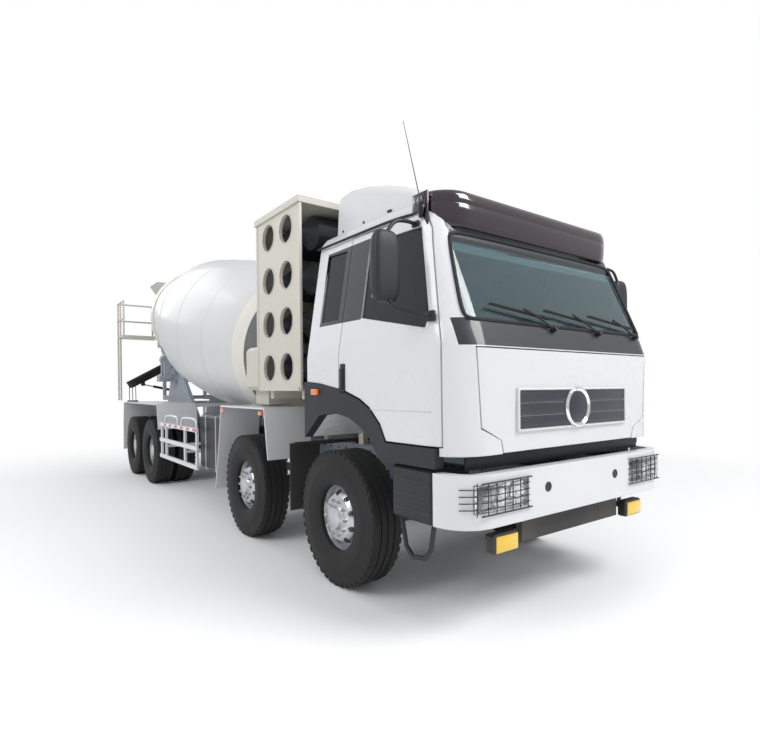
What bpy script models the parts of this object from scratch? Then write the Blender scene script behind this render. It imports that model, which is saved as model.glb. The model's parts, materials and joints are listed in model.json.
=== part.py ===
"""Concrete mixer truck with four axles, a gas-bottle rack and a tilting cab.

Metres, +Z up. The truck faces -Y, its left side is +X, and the origin lies on the ground
under the middle of its outline. A station is a distance behind the front axle.
"""

import math

import bmesh
import bpy
from mathutils import Matrix, Vector

# Driving sizes
FRONT_AXLE_Y = -3.75
AXLE_STATIONS = (0.0, 1.94, 6.29, 7.64)
TYRE_RADIUS = 0.56
TYRE_WIDTH = 0.31
TRACK_HALF = 1.08
TWIN_PITCH = 0.35
BODY_HALF = 1.235
SEAT = 0.0003
MOVING_GAP = 0.008

# Chassis
RAIL_INNER = 0.385
RAIL_OUTER = 0.465
RAIL_BOTTOM = 0.78
RAIL_TOP = 1.06
RAIL_REAR = 8.30
SUBFRAME_TOP = 1.12
BUMPER_FRONT = -1.53
BUMPER_BOTTOM = 0.745
BUMPER_TOP = 1.085
BUMPER_HALF = 1.24
BUMPER_DEPTH = 0.08

# Steering
KINGPIN_HALF = 0.88
SPINDLE_RADIUS = 0.05
TWIN_SPINDLE_RADIUS = 0.055
AXLE_SIDES = 16
WHEEL_SIDES = 20

# Cab
CAB_REAR = 0.45
CAB_WALL = 0.05
CAB_FLOOR = 1.50
CAB_BOTTOM = 1.19
ROOF_TOP = 3.00
CAB_PIVOT = (-1.42, 1.16)
DOOR_FRONT = -1.30
DOOR_REAR = -0.12
DOOR_HINGE_HALF = 1.226
DOOR_SWEEP = 0.016  # depth of the opening past the wall, so the door's front edge swings clear
LID_HINGE = (-1.478, 1.888)
FENDER_INNER = 1.165
FENDER_OUTER = 1.245

# Drum
DRUM_FRONT = 2.55
DRUM_AXIS_HEIGHT = 2.12
DRUM_TILT = math.radians(11.5)
DRUM_WALL = 0.02
RING_PLACE = 4.75
RING_RADIUS = 0.95
MOUTH_PLACE = 6.05

# Gas-bottle rack
RACK_FRONT = 0.63
RACK_REAR = 1.58
RACK_BOTTOM = 1.61
RACK_TOP = 3.36
RACK_HALF = 1.19
RACK_WALL = 0.03
BOTTLE_RADIUS = 0.16
BOTTLE_COLUMNS = (0.907, 1.303)
BOTTLE_ROWS = tuple(1.843 + 0.442 * row for row in range(4))
HOLE_RADIUS = 0.135

# Discharge chute
CHUTE_POST = (0.0, 8.78)
CHUTE_SEAT = 1.52
COLLECTOR_FRONT = 8.66
CHUTE_PIVOT = (0.14, 2.12)
JACK_FOOT = (0.13, 1.62)
JACK_EYE = (0.78, 1.76)

# Paints: red, green, blue, roughness, metallic
PAINTS = {
    "white_paint": (0.78, 0.79, 0.81, 0.35, 0.0),
    "drum_paint": (0.74, 0.74, 0.74, 0.40, 0.0),
    "frame_paint": (0.33, 0.38, 0.44, 0.50, 0.1),
    "rack_paint": (0.62, 0.60, 0.55, 0.50, 0.0),
    "dark_plastic": (0.06, 0.07, 0.09, 0.60, 0.0),
    "visor_gloss": (0.05, 0.03, 0.04, 0.15, 0.0),
    "black_metal": (0.03, 0.03, 0.03, 0.50, 0.5),
    "tyre_rubber": (0.03, 0.03, 0.03, 0.85, 0.0),
    "rim_silver": (0.62, 0.64, 0.66, 0.35, 0.8),
    "cast_grey": (0.20, 0.20, 0.21, 0.60, 0.6),
    "window_glass": (0.08, 0.14, 0.16, 0.05, 0.0),
    "seat_fabric": (0.12, 0.12, 0.14, 0.90, 0.0),
    "lamp_yellow": (0.80, 0.55, 0.05, 0.30, 0.0),
    "bottle_paint": (0.55, 0.12, 0.10, 0.40, 0.0),
}


def row_y(station):
    """The Y of a distance behind the front axle."""
    return station + FRONT_AXLE_Y


def along(outline):
    """An outline of (station, height) pairs as (Y, height) pairs."""
    return [(row_y(station), height) for station, height in outline]


def span(side, inner, outer):
    """The low and high X between two distances from the centre line on one side."""
    return min(side * inner, side * outer), max(side * inner, side * outer)


# ---------------------------------------------------------------- making shapes


def linked(mesh):
    thing = bpy.data.objects.new("shape", mesh)
    bpy.context.scene.collection.objects.link(thing)
    return thing


def from_bmesh(shape):
    bmesh.ops.recalc_face_normals(shape, faces=shape.faces)
    mesh = bpy.data.meshes.new("shape")
    shape.to_mesh(mesh)
    shape.free()
    return linked(mesh)


def block(xs, stations, heights, bevel=0.0):
    """A box between pairs of X, station and height, with bevelled edges if asked."""
    low = Vector((xs[0], row_y(stations[0]), heights[0]))
    high = Vector((xs[1], row_y(stations[1]), heights[1]))
    shape = bmesh.new()
    bmesh.ops.create_cube(shape, size=1.0)
    bmesh.ops.scale(shape, vec=high - low, verts=shape.verts)
    bmesh.ops.translate(shape, vec=(low + high) / 2, verts=shape.verts)
    if bevel:
        bmesh.ops.bevel(
            shape, geom=shape.edges[:], offset=bevel, segments=1, affect="EDGES", profile=0.5, material=-1
        )
    return from_bmesh(shape)


def loft(rings):
    """A closed skin through rings of equally many points, capped at both ends."""
    shape = bmesh.new()
    rows = [[shape.verts.new(point) for point in ring] for ring in rings]
    for lower, upper in zip(rows, rows[1:]):
        for index in range(len(lower)):
            after = (index + 1) % len(lower)
            shape.faces.new((lower[index], lower[after], upper[after], upper[index]))
    shape.faces.new(reversed(rows[0]))
    shape.faces.new(rows[-1])
    return from_bmesh(shape)


def prism(outline, axis, low, high):
    """An outline across an axis, extruded along it: (Y, Z) for X, (X, Z) for Y, (X, Y) for Z."""
    place = {
        "X": lambda u, v, w: (w, u, v),
        "Y": lambda u, v, w: (u, w, v),
        "Z": lambda u, v, w: (u, v, w),
    }[axis]
    return loft([[place(u, v, w) for u, v in outline] for w in (low, high)])


def turned(profile, centre, axis, segments):
    """A profile of (distance along axis, radius), turned about the axis, flats facing down."""
    along_axis = Vector(axis).normalized()
    across = along_axis.cross(Vector((0, 0, 1))).normalized()
    upward = across.cross(along_axis)
    swell = 1 / math.cos(math.pi / segments)
    start = math.pi / segments
    spoke = (across * math.cos(start) + upward * math.sin(start)) * swell
    shape = bmesh.new()
    points = [shape.verts.new(Vector(centre) + along_axis * s + spoke * r) for s, r in profile]
    for first, second in zip(points, points[1:] + points[:1]):
        if profile[points.index(first)][1] or profile[points.index(second)][1]:
            shape.edges.new((first, second))
    bmesh.ops.spin(
        shape, geom=shape.edges[:] + shape.verts[:], cent=centre, axis=along_axis,
        angle=math.tau, steps=segments, use_merge=True, use_duplicate=False,
    )
    bmesh.ops.remove_doubles(shape, verts=shape.verts, dist=2e-5)
    return from_bmesh(shape)


def rod(start, end, radius, sides=8):
    """A straight round bar between two points."""
    start, end = Vector(start), Vector(end)
    shape = bmesh.new()
    turn = (end - start).to_track_quat("Z", "Y").to_matrix().to_4x4()
    bmesh.ops.create_cone(
        shape, cap_ends=True, segments=sides, radius1=radius, radius2=radius,
        depth=(end - start).length, matrix=Matrix.Translation((start + end) / 2) @ turn,
    )
    return from_bmesh(shape)


def bent_tube(points, radius):
    """A round tube along straight runs between points."""
    curve = bpy.data.curves.new("tube", "CURVE")
    curve.dimensions = "3D"
    curve.bevel_depth = radius
    curve.bevel_resolution = 1
    curve.use_fill_caps = True
    spline = curve.splines.new("POLY")
    spline.points.add(len(points) - 1)
    for knot, point in zip(spline.points, points):
        knot.co = (*point, 1.0)
    guide = bpy.data.objects.new("tube", curve)
    bpy.context.scene.collection.objects.link(guide)
    mesh = bpy.data.meshes.new_from_object(guide.evaluated_get(bpy.context.evaluated_depsgraph_get()))
    bpy.data.objects.remove(guide)
    shape = bmesh.new()
    shape.from_mesh(mesh)
    bmesh.ops.remove_doubles(shape, verts=shape.verts, dist=1e-5)
    return from_bmesh(shape)


def combined(base, others, operation, solver="EXACT"):
    """The base after a Boolean with each of the others, which are used up."""
    for other in others:
        step = base.modifiers.new(operation.lower(), "BOOLEAN")
        step.operation = operation
        step.solver = solver
        step.object = other
    graph = bpy.context.evaluated_depsgraph_get()
    base.data = bpy.data.meshes.new_from_object(base.evaluated_get(graph))
    base.modifiers.clear()
    for other in others:
        bpy.data.objects.remove(other)
    return base


def fused(parts, solver="EXACT"):
    return combined(parts[0], parts[1:], "UNION", solver)


def cut(base, cutters, solver="EXACT"):
    return combined(base, cutters, "DIFFERENCE", solver)


def common(base, others, solver="EXACT"):
    return combined(base, others, "INTERSECT", solver)


def paint(name):
    """The named paint as a Principled material, made once."""
    found = bpy.data.materials.get(name)
    if found:
        return found
    red, green, blue, roughness, metallic = PAINTS[name]
    made = bpy.data.materials.new(name)
    made.use_nodes = True
    shader = made.node_tree.nodes["Principled BSDF"]
    shader.inputs["Base Color"].default_value = (red, green, blue, 1.0)
    shader.inputs["Roughness"].default_value = roughness
    shader.inputs["Metallic"].default_value = metallic
    return made


def finished(thing, name, finish, pivot=(0.0, 0.0, 0.0)):
    """Names and paints a piece and puts its origin on its pivot."""
    thing.name = name
    thing.data.name = name
    thing.data.transform(Matrix.Translation(-Vector(pivot)))
    thing.location = pivot
    thing.data.materials.clear()
    own = paint(finish).copy()
    own.name = name
    thing.data.materials.append(own)
    thing.data.shade_smooth()
    thing.data.set_sharp_from_angle(angle=math.radians(30))
    return thing


# ---------------------------------------------------------------- chassis


def channel(side, low, high):
    """A C-section rail, open towards the centre line."""
    web, thick = RAIL_OUTER, 0.012
    outline = [
        (side * RAIL_INNER, RAIL_BOTTOM), (side * web, RAIL_BOTTOM), (side * web, RAIL_TOP),
        (side * RAIL_INNER, RAIL_TOP), (side * RAIL_INNER, RAIL_TOP - thick),
        (side * (web - thick), RAIL_TOP - thick), (side * (web - thick), RAIL_BOTTOM + thick),
        (side * RAIL_INNER, RAIL_BOTTOM + thick),
    ]
    return prism(outline, "Y", row_y(low), row_y(high))


def chassis_frame():
    rail_front = BUMPER_FRONT + BUMPER_DEPTH + SEAT
    parts = [channel(side, rail_front, RAIL_REAR) for side in (-1, 1)]
    reach = RAIL_OUTER - 0.006
    for station in (-1.36, 0.60, 2.95, 4.40, 5.80, 8.20):
        parts.append(block((-reach, reach), (station - 0.05, station + 0.05), (0.83, 0.99)))
    for side in (-1, 1):
        parts.append(block(span(side, 0.395, 0.455), (1.70, RAIL_REAR), (RAIL_TOP - 0.005, SUBFRAME_TOP)))
        parts.append(block(span(side, 0.40, 0.45), (-1.40, -1.36), (0.62, 0.80)))
    parts.append(block((-0.60, 0.60), (-1.44, -1.39), (0.57, 0.735)))
    finished(fused(parts), "chassis_frame", "frame_paint")


def arc(centre, radius, start, stop, steps):
    """Points along an arc, in degrees."""
    angles = [math.radians(start + (stop - start) * step / steps) for step in range(steps + 1)]
    return [(centre[0] + radius * math.cos(a), centre[1] + radius * math.sin(a)) for a in angles]


def front_bumper():
    corner, rear = 0.24, -1.25
    half, front = BUMPER_HALF, BUMPER_FRONT
    outer = [(half, row_y(rear))]
    outer += [(x, row_y(y)) for x, y in arc((half - corner, front + corner), corner, 0, -90, 4)]
    inner = [(x * (half - BUMPER_DEPTH) / half, max(y, row_y(front) + BUMPER_DEPTH)) for x, y in outer]
    inner[0] = (half - BUMPER_DEPTH, row_y(rear))
    right = [(-x, y) for x, y in reversed(outer)]
    outline = outer + right + [(-x, y) for x, y in inner] + list(reversed(inner))
    bumper = prism(outline, "Z", BUMPER_BOTTOM, BUMPER_TOP)
    pockets = [
        block(span(side, 0.64, 1.12), (front - 0.05, front + 0.045), (0.846, 1.023)) for side in (-1, 1)
    ]
    guards = []
    for side in (-1, 1):
        for height in (0.832, 1.032):
            guards.append(
                block(span(side, 0.62, 1.10), (front - 0.02, front - 0.01), (height, height + 0.008))
            )
            for x in (0.63, 1.06):
                guards.append(block(span(side, x, x + 0.01), (front - 0.018, front + 0.01), (height + 0.001, height + 0.007)))
    finished(fused([cut(bumper, pockets), *guards]), "front_bumper", "white_paint")


def fog_lamps():
    parts = [block((-0.80, 0.80), (-1.35, -1.32), (0.60, 0.64))]
    for side in (-1, 1):
        parts.append(block(span(side, 0.68, 0.92), (-1.48, -1.40), (0.546, 0.676), 0.012))
        parts.append(block(span(side, 0.77, 0.83), (-1.41, -1.32), (0.60, 0.64)))
        parts.append(block(span(side, 0.41, 0.44), (-1.35, -1.32), (0.61, RAIL_BOTTOM - SEAT)))
    finished(fused(parts), "fog_lamps", "lamp_yellow")


def engine():
    parts = [
        block((-0.34, 0.34), (-1.10, 0.35), (0.66, 1.38), 0.03),
        block((-0.22, 0.22), (0.30, 0.52), (0.72, 1.18)),
    ]
    for station in (-0.95, 0.10):
        parts.append(block((-0.44, 0.44), (station, station + 0.10), (RAIL_TOP + SEAT, RAIL_TOP + 0.04)))
    finished(fused(parts), "engine", "cast_grey")


def steps():
    for side, name in ((-1, "step_right"), (1, "step_left")):
        parts = [
            block(span(side, 0.86, 1.22), (-1.22, -0.79), (0.73, 1.095), 0.02),
            block(span(side, RAIL_OUTER + SEAT, 0.90), (-1.06, -0.98), (0.86, 0.94)),
            bent_tube(
                [
                    (side * 1.16, row_y(-0.82), 0.76), (side * 1.16, row_y(-0.88), 0.52),
                    (side * 1.16, row_y(-0.95), 0.46), (side * 1.16, row_y(-1.08), 0.48),
                    (side * 1.16, row_y(-1.14), 0.55), (side * 1.16, row_y(-1.18), 0.76),
                ],
                0.018,
            ),
        ]
        finished(fused(parts), name, "dark_plastic")


def front_flaps():
    station = 0.84
    parts = [rod((-1.15, row_y(station), 1.10), (1.15, row_y(station), 1.10), 0.02)]
    for side in (-1, 1):
        parts.append(block(span(side, 0.88, 1.20), (station - 0.006, station + 0.006), (0.47, 1.11)))
        parts.append(block(span(side, 0.40, 0.45), (station - 0.02, station + 0.02), (RAIL_TOP + SEAT, 1.10)))
    finished(fused(parts), "front_flaps", "dark_plastic")


# ---------------------------------------------------------------- axles and wheels


def steer_axle(number, station):
    y, mid = row_y(station), TYRE_RADIUS
    parts = [block((-0.72, 0.72), (station - 0.045, station + 0.045), (0.43, 0.54))]
    for side in (-1, 1):
        parts.append(block(span(side, 0.66, KINGPIN_HALF), (station - 0.04, station + 0.04), (0.48, 0.62)))
        parts.append(rod((side * KINGPIN_HALF, y, 0.475), (side * KINGPIN_HALF, y, 0.645), 0.048, 12))
        parts.append(block(span(side, 0.385, 0.465), (station - 0.80, station + 0.80), (0.60, 0.68)))
        parts.append(block(span(side, 0.385, 0.465), (station - 0.09, station + 0.09), (0.50, 0.70)))
        for end in (-0.78, 0.72):
            parts.append(
                block(
                    span(side, 0.40, 0.45), (station + end, station + end + 0.06),
                    (0.61, RAIL_BOTTOM - SEAT),
                )
            )
    finished(fused(parts), f"steer_axle_{number}", "cast_grey")
    for side, word in ((-1, "right"), (1, "left")):
        pivot = (side * KINGPIN_HALF, y, mid)
        ears = [
            block(span(side, 0.83, 0.955), (station - 0.05, station + 0.05), (0.42, 0.475 - SEAT)),
            block(span(side, 0.83, 0.955), (station - 0.05, station + 0.05), (0.645 + SEAT, 0.70)),
            block(span(side, 0.938, 0.965), (station - 0.06, station + 0.06), (0.42, 0.70)),
            rod((side * 0.95, y, mid), (side * (TRACK_HALF + 0.12), y, mid), SPINDLE_RADIUS, 12),
        ]
        finished(fused(ears), f"knuckle_{number}_{word}", "cast_grey", pivot)
        finished(steer_wheel(side, y), f"wheel_{number}_{word}", "tyre_rubber", (side * TRACK_HALF, y, mid))


def tyre_side(centre, sign):
    """Half a tyre's outline from its bead to its tread, as (place, radius) pairs."""
    half = TYRE_WIDTH / 2
    table = (  # share of half width, radius
        (0.87, 0.300), (1.00, 0.420), (0.92, 0.520), (0.70, TYRE_RADIUS),
    )
    return [(centre + sign * half * share, radius) for share, radius in table]


def steer_wheel(side, y):
    bore = SPINDLE_RADIUS + SEAT
    profile = [
        (0.13, 0.0), (0.13, bore), (-0.03, bore), (-0.03, 0.13), (0.06, 0.15), (0.07, 0.250),
        (-0.12, 0.265),
    ]
    profile += tyre_side(0.0, -1)
    profile += reversed(tyre_side(0.0, 1))
    profile += [(0.115, 0.280), (0.09, 0.255), (0.085, 0.15), (0.145, 0.12), (0.155, 0.0)]
    return turned(profile, (side * TRACK_HALF, y, TYRE_RADIUS), (side, 0, 0), WHEEL_SIDES)


def twin_wheel(side, y):
    bore = TWIN_SPINDLE_RADIUS / math.cos(math.pi / AXLE_SIDES) + SEAT
    profile = [(0.06, 0.0), (0.06, bore), (-0.42, bore), (-0.42, 0.17), (-0.21, 0.17), (-0.20, 0.262)]
    profile += [(-TWIN_PITCH - 0.12, 0.270)]
    profile += tyre_side(-TWIN_PITCH, -1)
    profile += reversed(tyre_side(-TWIN_PITCH, 1))
    profile += [(-TWIN_PITCH / 2, 0.285)]
    profile += tyre_side(0.0, -1)
    profile += reversed(tyre_side(0.0, 1))
    profile += [(0.115, 0.280), (-0.15, 0.262), (-0.16, 0.17), (0.08, 0.14), (0.10, 0.0)]
    return turned(profile, (side * TRACK_HALF, y, TYRE_RADIUS), (side, 0, 0), WHEEL_SIDES)


def drive_axle(number, station):
    y = row_y(station)
    tip = TRACK_HALF + 0.05
    half = [
        (0.12, 0.20), (0.26, 0.10), (0.58, 0.085), (0.60, TWIN_SPINDLE_RADIUS),
        (tip, TWIN_SPINDLE_RADIUS),
    ]
    profile = [(-tip, 0.0)] + [(-s, r) for s, r in reversed(half)] + half + [(tip, 0.0)]
    axle = turned(profile, (0, y, TYRE_RADIUS), (1, 0, 0), AXLE_SIDES)
    finished(axle, f"drive_axle_{number}", "cast_grey")
    for side, word in ((-1, "right"), (1, "left")):
        pivot = (side * TRACK_HALF, y, TYRE_RADIUS)
        finished(twin_wheel(side, y), f"wheel_{number}_{word}", "tyre_rubber", pivot)


def bogie_springs():
    first, last = AXLE_STATIONS[2:]
    middle = (first + last) / 2
    pad = TYRE_RADIUS + 0.0945 + SEAT
    outline = along([
        (first - 0.08, pad), (first + 0.08, pad), (middle - 0.15, 0.60), (middle + 0.15, 0.60),
        (last - 0.08, pad), (last + 0.08, pad), (last + 0.08, pad + 0.035), (middle, 0.745),
        (first - 0.08, pad + 0.035),
    ])
    parts = [rod((-0.46, row_y(middle), 0.56), (0.46, row_y(middle), 0.56), 0.06, 10)]
    for side in (-1, 1):
        low, high = span(side, 0.375, 0.465)
        parts.append(prism(outline, "X", low, high))
        parts.append(
            block(span(side, 0.40, 0.45), (middle - 0.10, middle + 0.10), (0.54, RAIL_BOTTOM - SEAT))
        )
    finished(fused(parts), "bogie_springs", "cast_grey")


# ---------------------------------------------------------------- tanks, mudguards, guards


def side_boxes():
    for side, name in ((-1, "battery_box"), (1, "fuel_tank")):
        parts = [
            block(span(side, 0.56, 1.12), (2.98, 3.80), (0.55, 1.28), 0.03),
            block(span(side, RAIL_OUTER + SEAT, 0.60), (3.10, 3.20), (0.85, 1.00)),
            block(span(side, RAIL_OUTER + SEAT, 0.60), (3.55, 3.65), (0.85, 1.00)),
        ]
        finished(fused(parts), name, "black_metal")


def second_mudguards():
    outline = along([
        (1.24, 0.91), (1.33, 1.44), (2.60, 1.44), (2.68, 0.98), (2.82, 0.40), (2.805, 0.40),
        (2.665, 0.97), (2.585, 1.42), (1.345, 1.42), (1.255, 0.91),
    ])
    parts = [rod((-0.80, row_y(2.45), 1.40), (0.80, row_y(2.45), 1.40), 0.025)]
    for side in (-1, 1):
        low, high = span(side, 0.74, 1.245)
        parts.append(prism(outline, "X", low, high))
        parts.append(block(span(side, 0.41, 0.44), (2.42, 2.48), (SUBFRAME_TOP + SEAT, 1.40)))
    finished(fused(parts), "mudguards_2", "white_paint")


def rear_mudguards():
    outline = along([
        (5.58, 0.98), (5.66, 1.40), (8.34, 1.40), (8.40, 1.00), (8.42, 0.42), (8.405, 0.42),
        (8.385, 1.00), (8.325, 1.38), (5.675, 1.38), (5.595, 0.98),
    ])
    parts = []
    for side in (-1, 1):
        low, high = span(side, 0.60, 1.245)
        parts.append(prism(outline, "X", low, high))
    for station in (5.78, 8.25):
        parts.append(block((-0.62, 0.62), (station - 0.03, station + 0.03), (1.33, 1.39)))
        for side in (-1, 1):
            heights = (SUBFRAME_TOP + SEAT, 1.35)
            parts.append(block(span(side, 0.41, 0.44), (station - 0.03, station + 0.03), heights))
    parts.sort(key=lambda part: part.dimensions.x < 1)
    finished(fused(parts), "rear_mudguards", "white_paint")


def side_guards():
    parts = []
    for station in (4.15, 5.15):
        parts.append(rod((-1.23, row_y(station), 0.74), (1.23, row_y(station), 0.74), 0.022))
        for side in (-1, 1):
            heights = (0.74, RAIL_BOTTOM - SEAT)
            parts.append(block(span(side, 0.41, 0.44), (station - 0.02, station + 0.02), heights))
    for side in (-1, 1):
        for height in (0.57, 0.83, 1.08):
            parts.append(block(span(side, 1.215, 1.245), (3.55, 5.48), (height - 0.03, height + 0.03)))
        for station in (3.60, 4.15, 5.15, 5.42):
            parts.append(block(span(side, 1.205, 1.235), (station - 0.025, station + 0.025), (0.55, 1.10)))
    finished(fused(parts), "side_guards", "white_paint")


# ---------------------------------------------------------------- gas-bottle rack


def gas_rack():
    deep = (RACK_FRONT, RACK_REAR)
    parts = [block((-RACK_HALF - 0.02, RACK_HALF + 0.02), (deep[0] - 0.02, deep[1] + 0.03), (RACK_TOP - 0.01, 3.41))]
    for side in (-1, 1):
        panel = block(span(side, RACK_HALF - RACK_WALL, RACK_HALF), deep, (RACK_BOTTOM, RACK_TOP))
        holes = [
            rod((side * 1.0, row_y(column), height), (side * 1.4, row_y(column), height), HOLE_RADIUS, 12)
            for column in BOTTLE_COLUMNS for height in BOTTLE_ROWS
        ]
        parts.append(cut(panel, holes))
    parts.append(block((-RACK_HALF + 0.01, RACK_HALF - 0.01), deep, (RACK_BOTTOM, RACK_BOTTOM + RACK_WALL)))
    parts.append(
        block((-RACK_HALF + 0.01, RACK_HALF - 0.01), (deep[1] - RACK_WALL, deep[1]), (RACK_BOTTOM, RACK_TOP))
    )
    for station in (deep[0] + 0.10, deep[1] - 0.14):
        parts.append(
            block((-1.10, 1.10), (station - 0.04, station + 0.04), (RACK_BOTTOM - 0.08, RACK_BOTTOM + 0.01))
        )
        for side in (-1, 1):
            heights = (RAIL_TOP + SEAT, RACK_BOTTOM - 0.07)
            parts.append(block(span(side, 0.40, 0.46), (station - 0.04, station + 0.04), heights))
    finished(fused(parts), "gas_rack", "rack_paint")


def gas_bottles():
    half = 1.05
    parts = []
    for x in (-0.55, 0.55):
        deep = (BOTTLE_COLUMNS[0] - 0.12, BOTTLE_COLUMNS[1] + 0.12)
        heights = (RACK_BOTTOM + RACK_WALL + SEAT, BOTTLE_ROWS[-1] + 0.10)
        parts.append(block((x - 0.02, x + 0.02), deep, heights))
    profile = [
        (-half, 0.0), (-half, 0.04), (-half + 0.14, BOTTLE_RADIUS), (half - 0.14, BOTTLE_RADIUS),
        (half, 0.04), (half, 0.0),
    ]
    for column in BOTTLE_COLUMNS:
        for height in BOTTLE_ROWS:
            parts.append(turned(profile, (0, row_y(column), height), (1, 0, 0), 10))
    finished(fused(parts), "gas_bottles", "bottle_paint")


# ---------------------------------------------------------------- drum and its carriers


def drum_point(place, radius=0.0, angle=0.0):
    """A point at a place along the drum's axis, at an angle from straight up."""
    axis = Vector((0, math.cos(DRUM_TILT), math.sin(DRUM_TILT)))
    upward = Vector((0, -math.sin(DRUM_TILT), math.cos(DRUM_TILT)))
    centre = Vector((0, row_y(DRUM_FRONT), DRUM_AXIS_HEIGHT)) + axis * place
    return centre + radius * (upward * math.cos(angle) + Vector((1, 0, 0)) * math.sin(angle))


def drum():
    shell = (  # place along the axis, radius
        (0.0, 0.965), (0.25, 1.02), (1.20, 1.12), (2.15, 1.19), (3.20, 1.19),
        (RING_PLACE - 0.08, 0.925), (RING_PLACE + 0.08, 0.895), (MOUTH_PLACE, 0.60),
    )
    outer = [(-0.12, 0.0), (-0.12, 0.30)]
    for place, radius in shell:
        outer.append((place, radius))
        if abs(place - RING_PLACE) < 0.1:
            lip = (place, RING_RADIUS)
            outer.insert(len(outer) if place < RING_PLACE else len(outer) - 1, lip)
    inner = [(place, radius - DRUM_WALL) for place, radius in reversed(shell)]
    inner[-1] = (DRUM_WALL, shell[0][1] - DRUM_WALL)
    profile = outer + inner + [(-0.12 + DRUM_WALL, 0.30), (-0.12 + DRUM_WALL, 0.0)]
    shape = turned(profile, drum_point(0), drum_point(1) - drum_point(0), 32)
    finished(shape, "drum", "drum_paint", drum_point(0))


def front_pedestal():
    parts = [block((-0.50, 0.50), (1.98, 2.20), (1.50, 1.62))]
    for side in (-1, 1):
        parts.append(block(span(side, 0.38, 0.46), (1.96, 2.30), (SUBFRAME_TOP + SEAT, 1.60)))
    parts.append(block((-0.32, 0.32), (2.00, 2.24), (1.58, 1.80)))
    parts.append(rod(drum_point(-0.55), drum_point(-0.12 - SEAT), 0.28, 16))
    parts.append(rod(drum_point(-0.80), drum_point(-0.50), 0.13, 12))
    finished(fused(parts), "front_pedestal", "frame_paint")


def water_tank():
    parts = [
        block((-1.12, -0.52), (1.72, 2.12), (1.62, 2.10), 0.04),
        block((-1.00, -0.60), (1.75, 2.10), (1.46, 1.64)),
        block((-0.70, -0.385), (1.80, 1.92), (SUBFRAME_TOP + SEAT, 1.50)),
    ]
    finished(fused(parts), "water_tank", "white_paint")


def rear_pedestal():
    foot = SUBFRAME_TOP + SEAT
    outline = along([(6.05, foot), (8.15, foot), (7.72, 2.08), (7.16, 2.08)])
    parts = [block((-0.80, 0.80), (7.26, 7.50), (1.80, 1.93))]
    for side in (-1, 1):
        low, high = span(side, 0.40, 0.46)
        parts.append(prism(outline, "X", low, high))
        hub = drum_point(RING_PLACE, RING_RADIUS + 0.006 + 0.12, math.pi - side * math.radians(37))
        reach = (drum_point(1) - drum_point(0)) * 0.06
        parts.append(turned_roller(hub, reach))
        low, high = span(side, 0.58, 0.72)
        tall = hub.z - 0.02
        parts.append(
            block((low, high), (hub.y - FRONT_AXLE_Y - 0.14, hub.y - FRONT_AXLE_Y - 0.07), (1.85, tall))
        )
        parts.append(
            block((low, high), (hub.y - FRONT_AXLE_Y + 0.07, hub.y - FRONT_AXLE_Y + 0.14), (1.85, tall))
        )
        parts.append(rod(hub - reach * 2.2, hub + reach * 2.2, 0.03, 8))
        parts.append(rod((side * 0.43, row_y(7.50), 2.00), (side * 0.43, row_y(8.38), 2.62), 0.025))
        parts.append(block(span(side, 0.40, 0.46), (8.36, 8.44), (1.42, 2.70)))
        parts.append(block(span(side, 0.40, 0.46), (7.90, 8.44), (1.42, 1.52)))
        parts.append(block(span(side, 0.405, 0.455), (8.40, 8.66), (2.62, 2.70)))
    parts.append(block((-0.43, 0.43), (8.365, 8.435), (1.43, 1.51)))
    parts.append(block((-0.10, 0.10), (8.40, 8.84), (1.42, CHUTE_SEAT)))
    parts.append(block((-0.43, 0.43), (8.59, COLLECTOR_FRONT), (2.63, 2.69)))
    finished(fused(parts), "rear_pedestal", "frame_paint")


def turned_roller(hub, reach):
    return rod(hub - reach, hub + reach, 0.12, 14)


def feed_hopper():
    """An open funnel over the drum's mouth, on two legs."""

    def funnel(grow, low, high):
        table = (  # height, half width, front station, rear station
            (low, 0.26, 8.60, 8.84), (3.62, 0.34, 8.56, 8.98), (high, 0.56, 8.40, 9.04),
        )
        rings = []
        for height, half, front, rear in table:
            corners = ((-1, front - grow), (1, front - grow), (1, rear + grow), (-1, rear + grow))
            rings.append([(sign * (half + grow), row_y(y), height) for sign, y in corners])
        return loft(rings)

    parts = [cut(funnel(0.0, 3.44, 3.96), [funnel(-0.015, 3.43, 3.97)])]
    for side in (-1, 1):
        parts.append(block(span(side, 0.40, 0.45), (8.60, 8.65), (2.70 + SEAT, 3.72)))
    parts.append(block((-0.44, 0.44), (8.60, 8.65), (3.30, 3.36)))
    finished(fused(parts), "feed_hopper", "white_paint")


def discharge_collector():
    """A fixed trough that leads from the drum's mouth to the swinging chute."""
    front = COLLECTOR_FRONT + SEAT
    table = ((2.30, 0.20, 8.92), (2.50, 0.34, 9.02), (2.98, 0.40, 9.04))  # height, half width, rear station

    def trough(grow, low, high):
        rings = []
        for height, (_, half, rear) in zip((low, 2.50, high), table):
            corners = ((-1, front - grow), (1, front - grow), (1, rear + grow), (-1, rear + grow))
            rings.append([(sign * (half + grow), row_y(y), height) for sign, y in corners])
        return loft(rings)

    shell = cut(trough(0.0, 2.30, 2.98), [trough(-0.015, 2.29, 2.99)])
    finished(shell, "discharge_collector", "frame_paint")


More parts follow.
